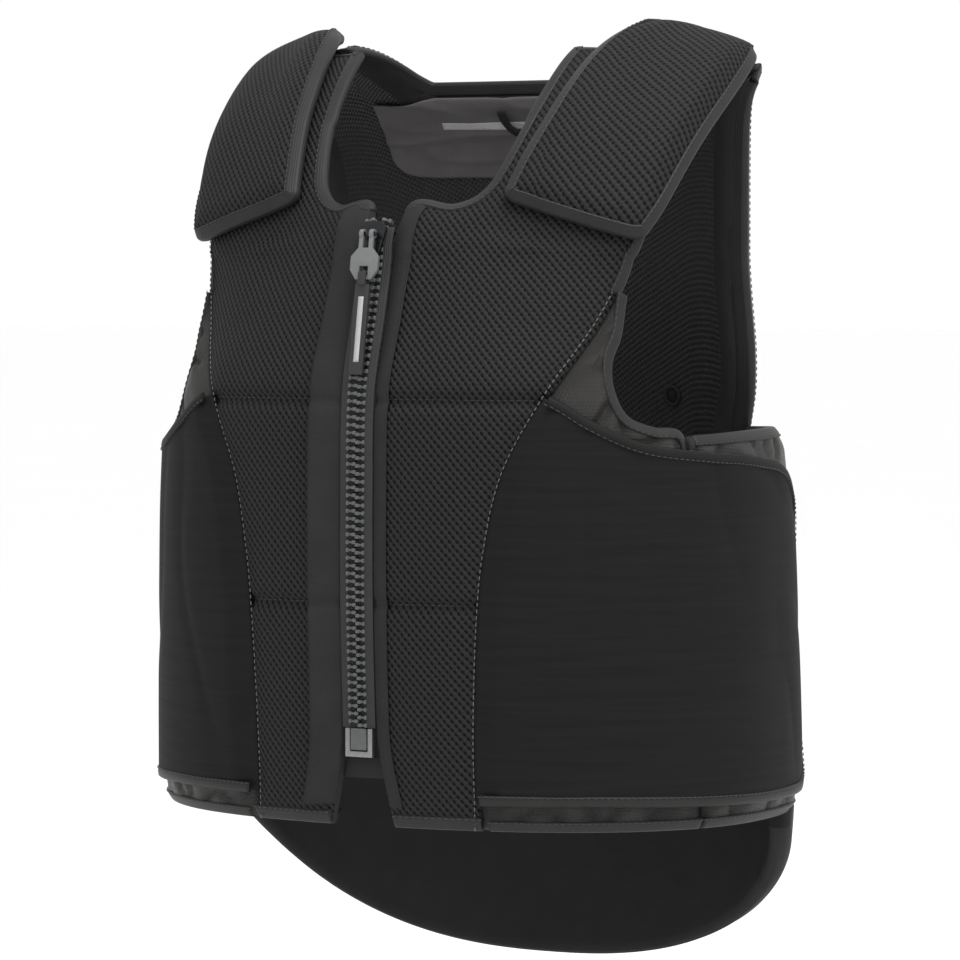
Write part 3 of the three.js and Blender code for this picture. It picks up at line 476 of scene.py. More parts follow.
# Polyester air mesh: a knitted spacer cloth with open holes in staggered rows about 4 mm
# apart, matt yarn, the holes painted near black for the dark foam behind them and for painted
# shade inside them, and the rows show as slanting lines.
def open_mesh(name, yarn, lit, hole_shade, across, along, slant, open_share, relief, shader):
    material, tree, surface = finish(name, shader)
    cloth = node(tree, "ShaderNodeUVMap", uv_map="cloth")
    wobble = node(tree, "ShaderNodeTexNoise", {"Vector": cloth.outputs["UV"], "Scale": 160.0,
                                               "Detail": 1.0})
    shift = node(tree, "ShaderNodeVectorMath", {0: wobble.outputs["Color"], 1: (0.5, 0.5, 0.5)},
                 operation="SUBTRACT")
    slight = node(tree, "ShaderNodeVectorMath", {0: shift.outputs[0], "Scale": 0.0007},
                  operation="SCALE")
    spot = node(tree, "ShaderNodeVectorMath", {0: cloth.outputs["UV"], 1: slight.outputs[0]},
                operation="ADD")
    split = node(tree, "ShaderNodeSeparateXYZ", {0: spot.outputs[0]})
    turn = 2 * math.pi * MM
    right = node(tree, "ShaderNodeMath", {0: split.outputs["X"], 1: turn / (across * MM * MM)},
                 operation="MULTIPLY")
    up = node(tree, "ShaderNodeMath", {0: split.outputs["Y"], 1: turn / (along * MM * MM)},
              operation="MULTIPLY")
    plus = node(tree, "ShaderNodeMath", {0: right.outputs[0], 1: up.outputs[0]}, operation="ADD")
    less = node(tree, "ShaderNodeMath", {0: right.outputs[0], 1: up.outputs[0]},
                operation="SUBTRACT")
    rising = node(tree, "ShaderNodeMath", {0: less.outputs[0]}, operation="COSINE")
    falling = node(tree, "ShaderNodeMath", {0: plus.outputs[0]}, operation="COSINE")
    weaker = node(tree, "ShaderNodeMath", {0: rising.outputs[0], 1: 1 - slant},
                  operation="MULTIPLY")
    height = node(tree, "ShaderNodeMath", {0: falling.outputs[0], 1: slant,
                                           2: weaker.outputs[0]}, operation="MULTIPLY_ADD")
    hollow = node(tree, "ShaderNodeMapRange", {0: height.outputs[0], 1: open_share,
                                               2: open_share + 0.38}, interpolation_type="SMOOTHSTEP")
    fibre = node(tree, "ShaderNodeTexNoise", {"Vector": cloth.outputs["UV"], "Scale": 900.0,
                                              "Detail": 2.0})
    thread = node(tree, "ShaderNodeMix", {"Factor": fibre.outputs["Fac"], 6: linear(yarn),
                                          7: linear(lit)}, data_type="RGBA")
    # The holes take the near-black hole tone: painted shade inside the holes, over the dark foam behind
    # them.
    tone = node(tree, "ShaderNodeMix", {"Factor": hollow.outputs[0], 6: thread.outputs[2],
                                        7: linear(hole_shade)}, data_type="RGBA")
    tree.links.new(tone.outputs[2], surface.inputs["Base Color"])
    dent = node(tree, "ShaderNodeMath", {0: height.outputs[0], 1: -1.0}, operation="MULTIPLY")
    pile = node(tree, "ShaderNodeMath", {0: fibre.outputs["Fac"], 1: 0.25, 2: dent.outputs[0]},
                operation="MULTIPLY_ADD")
    bump = node(tree, "ShaderNodeBump", {"Height": pile.outputs[0], "Strength": 0.8,
                                         "Distance": relief * MM})
    tree.links.new(bump.outputs["Normal"], surface.inputs["Normal"])
    return material


# The last, near-black colour is the painted shade in the holes.
air_mesh = open_mesh("knitted polyester air mesh", "#151515", "#2f2f30", "#030303", 4.1, 4.6, 0.66,
                     0.1, 0.4, {"Roughness": 0.7, "Specular IOR Level": 0.12})
# Fine polyester lining mesh: the same knit in a smaller repeat, with a slight shine.
# Its holes are painted near black in the same way, as painted shade.
lining_mesh = open_mesh("fine polyester lining mesh", "#171718", "#323234", "#060606", 3.6, 3.2,
                        0.5, 0.2, 0.3, {"Roughness": 0.45, "Specular IOR Level": 0.25})


# Woven polyester cloth: fine ribs both ways, drawn 0.9 mm apart so that they show, and matt.
def woven(name, low, high, pitch, relief, shader, ribs=(1.0, 1.0), crumple=0.0):
    material, tree, surface = finish(name, shader)
    cloth = node(tree, "ShaderNodeUVMap", uv_map="cloth")
    split = node(tree, "ShaderNodeSeparateXYZ", {0: cloth.outputs["UV"]})
    rate = 2 * math.pi / (pitch * MM)
    waves = []
    for axis, share in zip(("X", "Y"), ribs):
        angle = node(tree, "ShaderNodeMath", {0: split.outputs[axis], 1: rate},
                     operation="MULTIPLY")
        wave = node(tree, "ShaderNodeMath", {0: angle.outputs[0]}, operation="SINE")
        waves.append(node(tree, "ShaderNodeMath", {0: wave.outputs[0], 1: share},
                          operation="MULTIPLY"))
    both = node(tree, "ShaderNodeMath", {0: waves[0].outputs[0], 1: waves[1].outputs[0]},
                operation="ADD")
    soft = node(tree, "ShaderNodeTexNoise", {"Vector": cloth.outputs["UV"], "Scale": 55.0,
                                             "Detail": 4.0})
    tone = node(tree, "ShaderNodeMix", {"Factor": soft.outputs["Fac"], 6: linear(low),
                                        7: linear(high)}, data_type="RGBA")
    tree.links.new(tone.outputs[2], surface.inputs["Base Color"])
    height = node(tree, "ShaderNodeMath", {0: soft.outputs["Fac"], 1: crumple,
                                           2: both.outputs[0]}, operation="MULTIPLY_ADD")
    bump = node(tree, "ShaderNodeBump", {"Height": height.outputs[0], "Strength": 0.6,
                                         "Distance": relief * MM})
    tree.links.new(bump.outputs["Normal"], surface.inputs["Normal"])
    return material


facing_cloth = woven("woven polyester facing", "#242323", "#2f2e2e", 0.9, 0.08,
                     {"Roughness": 0.75, "Specular IOR Level": 0.1})
# Satin-faced binding tape: fine lengthwise ribs and a soft shine that catches the light on the
# fold.
satin_tape = woven("satin binding tape", "#1d1c1d", "#292829", 1.3, 0.06,
                   {"Roughness": 0.5, "Specular IOR Level": 0.2},
                   ribs=(0.15, 1.0), crumple=1.5)


def strap_thickness(u, v):
    return 16 - 5 * np.clip((v - 0.7) / 0.3, 0, 1)


def under_flap(point, u, v):
    x, along = front_spot(u, v)
    flap_foot = -62 - 24 * np.clip((x - 60) / 70, 0, 1)
    return 1 - ease(along, flap_foot - 22, flap_foot - 5)


FRONT_QUILTS = (0.22, 0.41)
front_made = pad(front_cut, 200, 44, strap_thickness, FRONT_QUILTS, cap=4.0, room=under_flap)
for name, turn in SIDES:
    piece = sewn_pad(f"sewn_front_{name}", front_made, [air_mesh, lining_mesh, facing_cloth], turn,
                     band=9)
    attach(piece, "root")
    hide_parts(f"front_pad_{name}")


# Facings beside the zip: a band of smooth woven cloth on the edge of each front pad, wider on
# the wearer's right, laid on the mesh and topstitched.
def strip(line, profile, material, closed=False, turn=1):
    """A closed profile, as (outwards, upwards) from the line, swept along the line."""
    profile = np.asarray(profile, float)
    if profile.ndim == 2:
        profile = np.broadcast_to(profile, (len(line["point"]),) + profile.shape)
    points = (line["point"][:, None] + line["away"][:, None] * profile[..., :1]
              + line["normal"][:, None] * profile[..., 1:])
    count, size = points.shape[:2]
    if turn < 0:
        points = flip(points)
    length = np.concatenate([[0], np.cumsum(np.linalg.norm(np.diff(line["point"], axis=0), axis=1))])
    girth = np.concatenate([[0], np.cumsum(np.linalg.norm(np.diff(profile[0], axis=0), axis=1))])
    cloth = np.stack(np.meshgrid(length, girth, indexing="ij"), -1)
    faces = []
    for k in range(count if closed else count - 1):
        here, there = k * size, ((k + 1) % count) * size
        faces += [[here + i, here + (i + 1) % size, there + (i + 1) % size, there + i]
                  for i in range(size)]
    if not closed:
        end = (count - 1) * size
        faces += [list(range(size))[::-1], [end + i for i in range(size)]]
    return points.reshape(-1, 3), faces, cloth.reshape(-1, 2), material


def join(name, parts, node_name=None, body="root"):
    """One object from several swept parts, riding on its body."""
    points, faces, cloth = [], [], []
    start = 0
    for part_points, part_faces, part_cloth, material in parts:
        points.append(part_points)
        cloth.append(part_cloth)
        faces += [[i + start for i in face] for face in part_faces]
        start += len(part_points)
    piece = new_piece(name, np.concatenate(points), faces, np.concatenate(cloth), [parts[0][3]])
    check = bmesh.new()
    check.from_mesh(piece.data)
    bmesh.ops.recalc_face_normals(check, faces=check.faces)
    check.to_mesh(piece.data)
    check.free()
    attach(piece, body)
    if node_name:
        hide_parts(node_name)
    return piece


FACING_WIDTHS = {"left": 9.0, "right": 16.0}
FACING_START = 0.02
FACING_SPAN = 0.602
SEAM_GAP = 0.2
for name, turn in SIDES:
    cut = dict(front_cut)
    width = FACING_WIDTHS[name]

    def facing_spot(u, v):
        v = FACING_START + v * FACING_SPAN
        in_x, in_along, out_x, out_along = (read(FRONT_ROWS, v, c) for c in range(1, 5))
        share = (SEAM_GAP + (width - SEAM_GAP) * u) / (out_x - in_x)
        return in_x + (out_x - in_x) * share, in_along + (out_along - in_along) * share
    cut["spot"] = facing_spot
    u, v = np.meshgrid(np.linspace(0, 1, 11), np.linspace(0, 1, 150))
    point, normal = frames(shell, *facing_spot(u, v))
    pad_edge = side(front_cut, "inner", count=200)["point"]
    d = distance(point, pad_edge)
    level = facing_spot(u, v)[1]
    groove = sum(1.6 * np.exp(-((level - q) / 2.6) ** 2) for q in QUILTS)
    seam = 0.5 * np.exp(-((u - 0.14) / 0.06) ** 2) + 0.5 * np.exp(-((u - 0.86) / 0.06) ** 2)
    lift = 0.7 - 4.0 * pinch(d) - groove - seam + 0.3 * np.sin(math.pi * u)
    lift = lift + 2.6 * ease(d, 7, 18)
    face = point + normal * lift[..., None]
    back = point + normal * (lift - 0.9)[..., None]
    if turn < 0:
        face, back = flip(face), flip(back)
    points, faces, loop = bag(face, back, 0.2)
    cloth = shell_cloth(*facing_spot(u, v))
    ringed = np.array([cloth[j, i] for j, i in loop])
    piece = new_piece(f"sewn_zip_facing_{name}", points, faces,
                      np.concatenate([cloth.reshape(-1, 2), cloth.reshape(-1, 2), ringed]),
                      [facing_cloth])
    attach(piece, "root")
    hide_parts(f"zip_facing_{name}")


# Bindings of the front pads: satin tape folded over the raw edge and sewn down, along the
# neckline and strap, round the armhole and along the hem.
def tape_profile(thick, width=4.6, out=1.4, base=0.0, lift=0.6, rim=RIM):
    """Sections of a tape folded round a pad's edge, one for each thickness along it, from the
    outer face round to the lining."""
    rows = []
    for deep in np.atleast_1d(thick):
        drawn = [(float(pinch(d)), -d) for d in (width - 0.5, width * 0.6, 1.2)]
        top = [(away, -base - rim[0] * deep * p + lift) for p, away in drawn]
        under = [(away, -base - deep * (1 - rim[1] * p) - lift) for p, away in drawn[::-1]]
        high = -base - rim[0] * deep + lift * 0.5
        low = -base - deep * (1 - rim[1]) - lift * 0.5
        fold = [(out * math.sin(t), (high + low) / 2 + (high - low) / 2 * math.cos(t))
                for t in np.linspace(0.1 * math.pi, 0.9 * math.pi, 8)]
        rows.append([(-width, top[0][1] - lift - 0.3)] + top + fold + under
                    + [(-width, under[-1][1] + lift + 0.3)])
    return np.array(rows) if np.ndim(thick) else np.array(rows[0])


def tape_rise(inward, thick=16.0, lift=0.7, base=0.0, rim=RIM):
    """How high above the form a tape's upper face is at this distance from the edge."""
    return lift - base - rim[0] * thick * float(pinch(inward))


NECK_START = 0.62
ARM_START = 0.535
for name, turn in SIDES:
    neck = side(front_cut, "inner", NECK_START - 0.006, 1, 170)
    arm = side(front_cut, "outer", ARM_START, 1, 150)
    end = side(front_cut, "high", 0, 1, 40)
    hem = side(front_cut, "low", 0.01, 1, 50)
    neck_thick = strap_thickness(0, np.linspace(NECK_START - 0.006, 1, 170))
    arm_thick = strap_thickness(0, np.linspace(ARM_START, 1, 150))
    parts = [strip(neck, tape_profile(neck_thick), satin_tape, turn=turn),
             strip(arm, tape_profile(arm_thick), satin_tape, turn=turn),
             strip(end, tape_profile(11.0), satin_tape, turn=turn)]
    join(f"front_tape_{name}", parts, f"front_binding_{name}")
    join(f"front_hem_tape_{name}", [strip(hem, tape_profile(16.0, 6.0), satin_tape, turn=turn)],
         f"front_hem_{name}")


# Lockstitches: short bonded polyester stitches, drawn 2.4 mm long so that they show, laid
# along each sewn line by one node tree.
def seam_tree():
    tree = bpy.data.node_groups.new("row of lockstitches", "GeometryNodeTree")
    tree.interface.new_socket("Seam", in_out="INPUT", socket_type="NodeSocketGeometry")
    for label, start in (("Pitch", 0.0034), ("Stitch length", 0.0024), ("Thread radius", 0.0003)):
        socket = tree.interface.new_socket(label, in_out="INPUT", socket_type="NodeSocketFloat")
        socket.default_value = start
    tree.interface.new_socket("Thread", in_out="INPUT", socket_type="NodeSocketMaterial")
    tree.interface.new_socket("Stitches", in_out="OUTPUT", socket_type="NodeSocketGeometry")
    given = node(tree, "NodeGroupInput").outputs
    line = node(tree, "GeometryNodeMeshToCurve", {"Mesh": given["Seam"]})
    even = node(tree, "GeometryNodeResampleCurve", {"Curve": line.outputs[0],
                                                    "Length": given["Pitch"]}, mode="LENGTH")
    half = node(tree, "ShaderNodeMath", {0: given["Stitch length"], 1: 0.5}, operation="MULTIPLY")
    bead = node(tree, "GeometryNodeMeshUVSphere", {"Segments": 6, "Rings": 5, "Radius": 1.0})
    size = node(tree, "ShaderNodeCombineXYZ", {0: given["Thread radius"], 1: given["Thread radius"],
                                               2: half.outputs[0]})
    stitch = node(tree, "GeometryNodeTransform", {"Geometry": bead.outputs["Mesh"],
                                                  "Scale": size.outputs[0]})
    way = node(tree, "GeometryNodeInputTangent")
    turned = node(tree, "FunctionNodeAlignRotationToVector", {"Vector": way.outputs[0]}, axis="Z")
    laid = node(tree, "GeometryNodeInstanceOnPoints", {"Points": even.outputs[0],
                                                       "Instance": stitch.outputs[0],
                                                       "Rotation": turned.outputs[0]})
    real = node(tree, "GeometryNodeRealizeInstances", {0: laid.outputs[0]})
    smooth = node(tree, "GeometryNodeSetShadeSmooth", {0: real.outputs[0]})
    done = node(tree, "GeometryNodeSetMaterial", {0: smooth.outputs[0],
                                                  "Material": given["Thread"]})
    node(tree, "NodeGroupOutput", {0: done.outputs[0]})
    return tree


# Bonded polyester thread: twisted filament with a slight shine, a shade lighter than the cloth.
thread, tree, surface = finish("bonded polyester thread", {"Roughness": 0.45,
                                                           "Specular IOR Level": 0.2})
place = node(tree, "ShaderNodeTexCoord")
twist = node(tree, "ShaderNodeTexWave", {"Vector": place.outputs["Object"], "Scale": 900.0,
                                         "Distortion": 1.0}, bands_direction="DIAGONAL")
tone = node(tree, "ShaderNodeMix", {"Factor": twist.outputs["Fac"], 6: linear("#2c2a2b"),
                                    7: linear("#454243")}, data_type="RGBA")
tree.links.new(tone.outputs[2], surface.inputs["Base Color"])
pale_thread = thread.copy()
pale_thread.name = "pale bonded thread"
for mix in pale_thread.node_tree.nodes:
    if mix.bl_idname == "ShaderNodeMix":
        mix.inputs[6].default_value, mix.inputs[7].default_value = linear("#4c494a"), linear("#6b6869")
lockstitches = seam_tree()


def from_nodes(name, lines, tree, inputs):
    """Runs a node tree on these lines and keeps its result as a plain mesh object."""
    data = bpy.data.meshes.new(name)
    points, edges = [], []
    for line in lines:
        start = len(points)
        points += (np.asarray(line) * MM).tolist()
        edges += [(start + i, start + i + 1) for i in range(len(line) - 1)]
    data.from_pydata(points, edges, [])
    guide = bpy.data.objects.new(name, data)
    scene.collection.objects.link(guide)
    modifier = guide.modifiers.new("made by nodes", "NODES")
    modifier.node_group = tree
    for item in tree.interface.items_tree:
        if item.in_out == "INPUT" and item.name in inputs:
            modifier[item.identifier] = inputs[item.name]
    bpy.context.view_layer.update()
    result = bpy.data.meshes.new_from_object(
        guide.evaluated_get(bpy.context.evaluated_depsgraph_get()))
    guide.modifiers.remove(modifier)
    guide.data = result
    result.name = name
    return guide


def stitched(name, lines, turn=1, **inputs):
    """Rows of stitches along these lines, on the wearer's left or mirrored to the right."""
    rows = [flip(line) if turn < 0 else line for line in lines]
    piece = from_nodes(name, rows, lockstitches, {"Thread": thread, **inputs})
    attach(piece, "root")
    return piece


STITCH_INSET = 3.6


def beside(line, inward, up):
    """A line moved into the piece and up from its surface."""
    return line["point"] - line["away"] * inward + line["normal"] * up


def on_row(made, row, start, end, up):
    """A line on the finished outer face of a pad, along one of its rows."""
    rows, wide = made["outer"].shape[:2]
    line = made["outer"][int(round(row * (rows - 1))),
                         int(start * (wide - 1)):int(end * (wide - 1)) + 1]
    middle = np.stack([0 * line[:, 0], 0 * line[:, 0], np.minimum(line[:, 2], -110)], 1)
    way = line - middle
    return line + way / np.linalg.norm(way, axis=1, keepdims=True) * up


for name, turn in SIDES:
    rows = [on_row(front_made, level, 0.1, 0.97, 0.15) for level in FRONT_QUILTS]
    neck = side(front_cut, "inner", NECK_START, 1, 170)
    arm = side(front_cut, "outer", ARM_START, 1, 150)
    hem = side(front_cut, "low", 0.03, 1, 50)
    seam = side(front_cut, "outer", 0, ARM_START, 160)
    rows += [beside(neck, STITCH_INSET, tape_rise(STITCH_INSET, 14)),
             beside(arm, STITCH_INSET, tape_rise(STITCH_INSET, 14)),
             beside(hem, 5.0, tape_rise(5.0))]
    stitched(f"front_stitches_{name}", rows, turn)
    stitched(f"princess_stitches_{name}", [beside(seam, 3.0, tape_rise(3.0, lift=0.1))], turn,
             Thread=pale_thread, **{"Thread radius": 0.0004})


# Side pads under the wings: foam in thin shiny nylon that puckers, from the front seam round
# to the back, cut away for the arm and bound there with the same tape.
def ring(degrees, z):
    """The same form by angle round the body, from the front at 0 to the back at 180."""
    width, front, power, keel, back, back_power = section(z)
    angle = np.radians(degrees)
    ahead = np.cos(angle) > 0
    power = np.where(ahead, power, back_power)
    x = width * np.sign(np.sin(angle)) * np.abs(np.sin(angle)) ** (2 / power)
    deep = np.abs(np.cos(angle)) ** (2 / power)
    y = np.where(ahead, -front * deep - keel_of(x, keel), back * deep)
    return np.stack([x, y, z + 0 * angle], -1)


def ring_angle(x, z, behind=False):
    width, _, power, _, _, back_power = section(z)
    power = back_power if behind else power
    angle = np.degrees(np.arcsin(np.clip(x / width, 0, 1) ** (power / 2)))
    return 180 - angle if behind else angle


ring_cloth = cloth_map(ring, np.arange(-180, 181, 1.0), np.arange(-520, -60, 4.0), 90, -280)

FRONT_SIDE_END = 66.0
FRONT_SIDE_ROWS = np.array([
    (0.0, FRONT_SIDE_END, HEM), (0.14, FRONT_SIDE_END, -322), (0.27, FRONT_SIDE_END, -250),
    (0.33, FRONT_SIDE_END, -212), (0.36, FRONT_SIDE_END - 1, -191), (0.39, 57.5, -188),
    (0.42, 51, -182), (0.45, 47.5, -168), (0.48, 46.2, -152), (0.51, 47.5, -138),
    (0.54, 47.2, -119)])
FRONT_SIDE_TOP = 0.54
BACK_EDGE = np.array([
    (HEM, 120), (-280, 123), (-200, 128), (-172, 135), (-150, 136.5), (-120, 134.5), (-90, 134),
    (-50, 135.5), (0, 140), (60, 149), (CREST, 151)])
BACK_SIDE_TOP = np.array([(0.0, -193), (0.5, -190), (1.0, -190.8)])
BACK_ARM = 0.41


def front_side_spot(u, v):
    v = v * FRONT_SIDE_TOP
    seam_z = read(FRONT_ROWS, v, 4)
    start = ring_angle(read(FRONT_ROWS, v, 3) + 0.6, seam_z)
    end, end_z = read(FRONT_SIDE_ROWS, v, 1), read(FRONT_SIDE_ROWS, v, 2)
    return start + (end - start) * u, seam_z + (end_z - seam_z) * u


def back_side_spot(u, v):
    seam_z = HEM + (CREST - 2 - HEM) * v * BACK_ARM
    top = read(BACK_SIDE_TOP, u, 1)
    rear = seam_z - HEM - (BACK_SIDE_TOP[-1, 1] - HEM) * v
    end = ring_angle(read(BACK_EDGE, seam_z, 1) + 0.6, seam_z, True)
    start = FRONT_SIDE_END + 0.9
    return start + (end - start) * u, HEM + (top - HEM) * v + rear * u


def between_wing(point, u, v):
    """Where the side pads show above the wing."""
    return ease(point[..., 2], -186, -172)


def folds(point, size, depth, stretch=(1, 1, 1), seed=0.0):
    """Soft creases: how deep each point lies in them."""
    flat = point.reshape(-1, 3) / size * np.array(stretch) + seed
    values = [abs(noise.noise(Vector(p))) for p in flat]
    return (depth * (1 - np.minimum(np.array(values) * 4, 1)) ** 1.5).reshape(point.shape[:-1])


def puckers(point, u, v, edge):
    """Creases where the nylon is gathered: upright at the hem, slanting at the armhole."""
    z = point[..., 2]
    low = 1 - ease(z, -384, -370)
    high = ease(z, -214, -196)
    across = folds(point, 22.0, 3.0, (1, 1, 0.5), 3.7)
    slanting = folds(point @ np.array([[0.8, 0, 0.6], [0, 1, 0], [-0.6, 0, 0.8]]), 24.0, 3.0,
                     (1, 1, 0.5), 11.3)
    return (across * low + slanting * high) * ease(edge, 2, 8)


# Nylon taffeta: thin, tight and slightly shiny, grey-green black, with small puckers.
nylon = woven("nylon taffeta", "#181716", "#242320", 0.7, 0.16,
              {"Roughness": 0.36, "Specular IOR Level": 0.3}, crumple=9.0)
front_side_cut = {"surface": ring, "cloth": ring_cloth, "spot": front_side_spot}
back_side_cut = {"surface": ring, "cloth": ring_cloth, "spot": back_side_spot}
front_side_made = pad(front_side_cut, 110, 38, 16.0, cap=3.0, swell=(1.0, 0.3),
                      room=between_wing, crease=puckers)
back_side_made = pad(back_side_cut, 90, 70, 16.0, cap=2.0, swell=(0.5, 0.3),
                     room=between_wing, crease=puckers)
side_tape = tape_profile(16.0)
for name, turn in SIDES:
    piece = sewn_pad(f"sewn_front_side_{name}", front_side_made, [nylon, lining_mesh, facing_cloth],
                     turn, band=9)
    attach(piece, "root")
    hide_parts(f"front_side_pad_{name}")
    piece = sewn_pad(f"sewn_back_side_{name}", back_side_made, [nylon, lining_mesh, facing_cloth],
                     turn, band=9)
    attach(piece, "root")
    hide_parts(f"back_side_pad_{name}")
    arm = side(front_side_cut, "outer", 0.62, 1, 90)
    top = side(back_side_cut, "high", 0.02, 0.96, 80)
    front_low = side(front_side_cut, "low", 0.03, 1, 60)
    back_low = side(back_side_cut, "low", 0, 0.96, 80)
    join(f"front_arm_tape_{name}", [strip(arm, side_tape, satin_tape, turn=turn)],
         f"front_arm_binding_{name}")
    join(f"back_arm_tape_{name}", [strip(top, side_tape, satin_tape, turn=turn)],
         f"back_arm_binding_{name}")
    join(f"front_side_hem_tape_{name}", [strip(front_low, side_tape, satin_tape, turn=turn)],
         f"front_side_hem_{name}")
    join(f"back_side_hem_tape_{name}", [strip(back_low, side_tape, satin_tape, turn=turn)],
         f"back_side_hem_{name}")
    stitched(f"side_stitches_{name}", [beside(line, STITCH_INSET, tape_rise(STITCH_INSET))
                                       for line in (arm, top, front_low, back_low)], turn)


# Back pad: one foam panel in air mesh from the hem to the yoke on the shoulder crest. Its
# inside shows through the neck and armholes: fine lining mesh with a smooth band by each arm.
def back_top(across):
    t = np.clip((np.abs(across) * 151 - 57) / (84 - 57), 0, 1)
    return 25 + (CREST - 2 - 25) * t * t * (3 - 2 * t)


def back_spot(u, v):
    across = 2 * u - 1
    way = HEM + (back_top(across) - HEM) * v
    return across * read(BACK_EDGE, way, 1), 2 * CREST - way


def back_thickness(u, v):
    return 16 - 5 * np.clip((v - 0.8) / 0.2, 0, 1)


back_cut = {"surface": shell, "cloth": shell_cloth, "spot": back_spot}
back_made = pad(back_cut, 190, 120, back_thickness, cap=3.0, swell=(1.0, 0.4))
piece = sewn_pad("sewn_back", back_made, [air_mesh, lining_mesh, facing_cloth], 1, band=17)
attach(piece, "root")
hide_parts("back_pad")
neck = side(back_cut, "high", 0.2, 0.8, 180)
join("back_neck_tape", [strip(neck, tape_profile(11.0), satin_tape)], "back_neck_binding")
EDGE_TAPE_LOW = BACK_ARM - 0.01
EDGE_TAPE_TOP = 0.985
back_lines = [beside(neck, STITCH_INSET, tape_rise(STITCH_INSET, 11))]
for name, turn in SIDES:
    arm = side(back_cut, "outer", EDGE_TAPE_LOW, EDGE_TAPE_TOP, 150)
    thick = back_thickness(0, np.linspace(EDGE_TAPE_LOW, EDGE_TAPE_TOP, 150))
    join(f"back_edge_tape_{name}", [strip(arm, tape_profile(thick), satin_tape, turn=turn)],
         f"back_edge_binding_{name}")
    line = beside(arm, STITCH_INSET, tape_rise(STITCH_INSET, 14))
    back_lines.append(flip(line) if turn < 0 else line)
stitched("back_stitches", back_lines)


# Tail: a curved pad below the back hem in smooth dark lining cloth, turned and pressed so that
# no binding shows.
TAIL_SPREAD = 80.0
TAIL_DROP = 90.0
TAIL_LEAN = 24.0
TAIL_SIDE_DROP = 7.0


def tail_surface(u, v):
    across = 2 * u - 1
    t = np.clip(np.abs(across), 0, 1)
    reach = np.sin(np.radians(t * TAIL_SPREAD)) / math.sin(math.radians(TAIL_SPREAD))
    drop = TAIL_SIDE_DROP + (TAIL_DROP - 3) * np.clip(1 - reach**2, 0, 1) ** 0.6
    down = drop * (1 - v)
    point = ring(180 - across * TAIL_SPREAD, np.full(np.shape(across), HEM - 1))
    lean = TAIL_LEAN * (np.maximum(down, 0) / TAIL_DROP) ** 1.3
    return np.stack([point[..., 0], point[..., 1] - lean, HEM + 1 - down], -1)


smooth_lining = woven("smooth tricot lining", "#1a1a1a", "#252525", 0.8, 0.04,
                      {"Roughness": 0.6, "Specular IOR Level": 0.15}, crumple=0.6)
tail_cloth = cloth_map(tail_surface, np.linspace(0, 1, 101), np.linspace(0, 1, 31), 0.5, 0.5)
tail_u, tail_v = np.meshgrid(0.5 - 0.5 * np.cos(np.linspace(0.0, math.pi, 150)),
                             1 - np.linspace(1, 0, 44) ** 0.8)
tail_u = 0.004 + 0.992 * tail_u
point = tail_surface(tail_u, tail_v)
_, ring_normal = frames(ring, 180 - (2 * tail_u - 1) * TAIL_SPREAD, np.full(tail_u.shape, HEM - 1.0))
rim = np.min([distance(point, point[0]), distance(point, point[:, 0]),
              distance(point, point[:, -1])], axis=0)
round_off = 5.0 * (1 - np.sqrt(1 - np.clip(1 - rim / 6.0, 0, 1) ** 2))
piece_points, faces, loop = bag(point - ring_normal * (2 + round_off)[..., None],
                                point - ring_normal * (14 - round_off)[..., None], 0.6)
cloth = tail_cloth(tail_u, tail_v)
border = np.array([cloth[j, i] for j, i in loop])
piece = new_piece("sewn_tail", piece_points, faces,
                  np.concatenate([cloth.reshape(-1, 2), cloth.reshape(-1, 2), border]),
                  [smooth_lining])
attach(piece, "root")
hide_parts("tail_pad")


# Shoulder flaps: a thick mesh pad over each strap, bound all round in satin tape, from below
# the collar bone over the crest to the yoke.
FLAP_ROWS = np.array([
    (0.0, 61, -50, 130, -79), (0.15, 65, -29, 136, -53), (0.35, 71, -2, 141, -14),
    (0.55, 78, 38, 145, 30), (0.75, 86, 76, 145, 68), (0.9, 93, 102, 142, 96),
    (1.0, 98, 116, 136, 112)])
FLAP_LIFT = 1.2
FLAP_THICK = 10.0
FLAP_LENGTH = 178.0
FLAP_CORNERS = (5.0, 15.0)


def flap_spot(u, v):
    in_x, in_along, out_x, out_along = (read(FLAP_ROWS, v, column) for column in range(1, 5))
    inset = 0.0
    for from_end, radius in zip((v, 1 - v), FLAP_CORNERS):
        short = np.clip(1 - from_end * FLAP_LENGTH / radius, 0, 1)
        inset = inset + radius * (1 - np.sqrt(1 - short**2 * 0.999))
    inset = np.minimum(inset / (out_x - in_x), 0.45)
    u = inset + (1 - 2 * inset) * u
    return in_x + (out_x - in_x) * u, in_along + (out_along - in_along) * u


flap_cut = {"surface": shell, "cloth": shell_cloth, "spot": flap_spot}
FLAP_RIM = (0.55, 0.0)


def shoulder_belly(point, u, v, edge):
    """The flap's outer half stands fuller over the shoulder bone."""
    return -5.0 * ease(u, 0.35, 0.8) * ease(v, 0.05, 0.4) * (1 - ease(v, 0.6, 0.95)) * ease(edge, 2, 14)


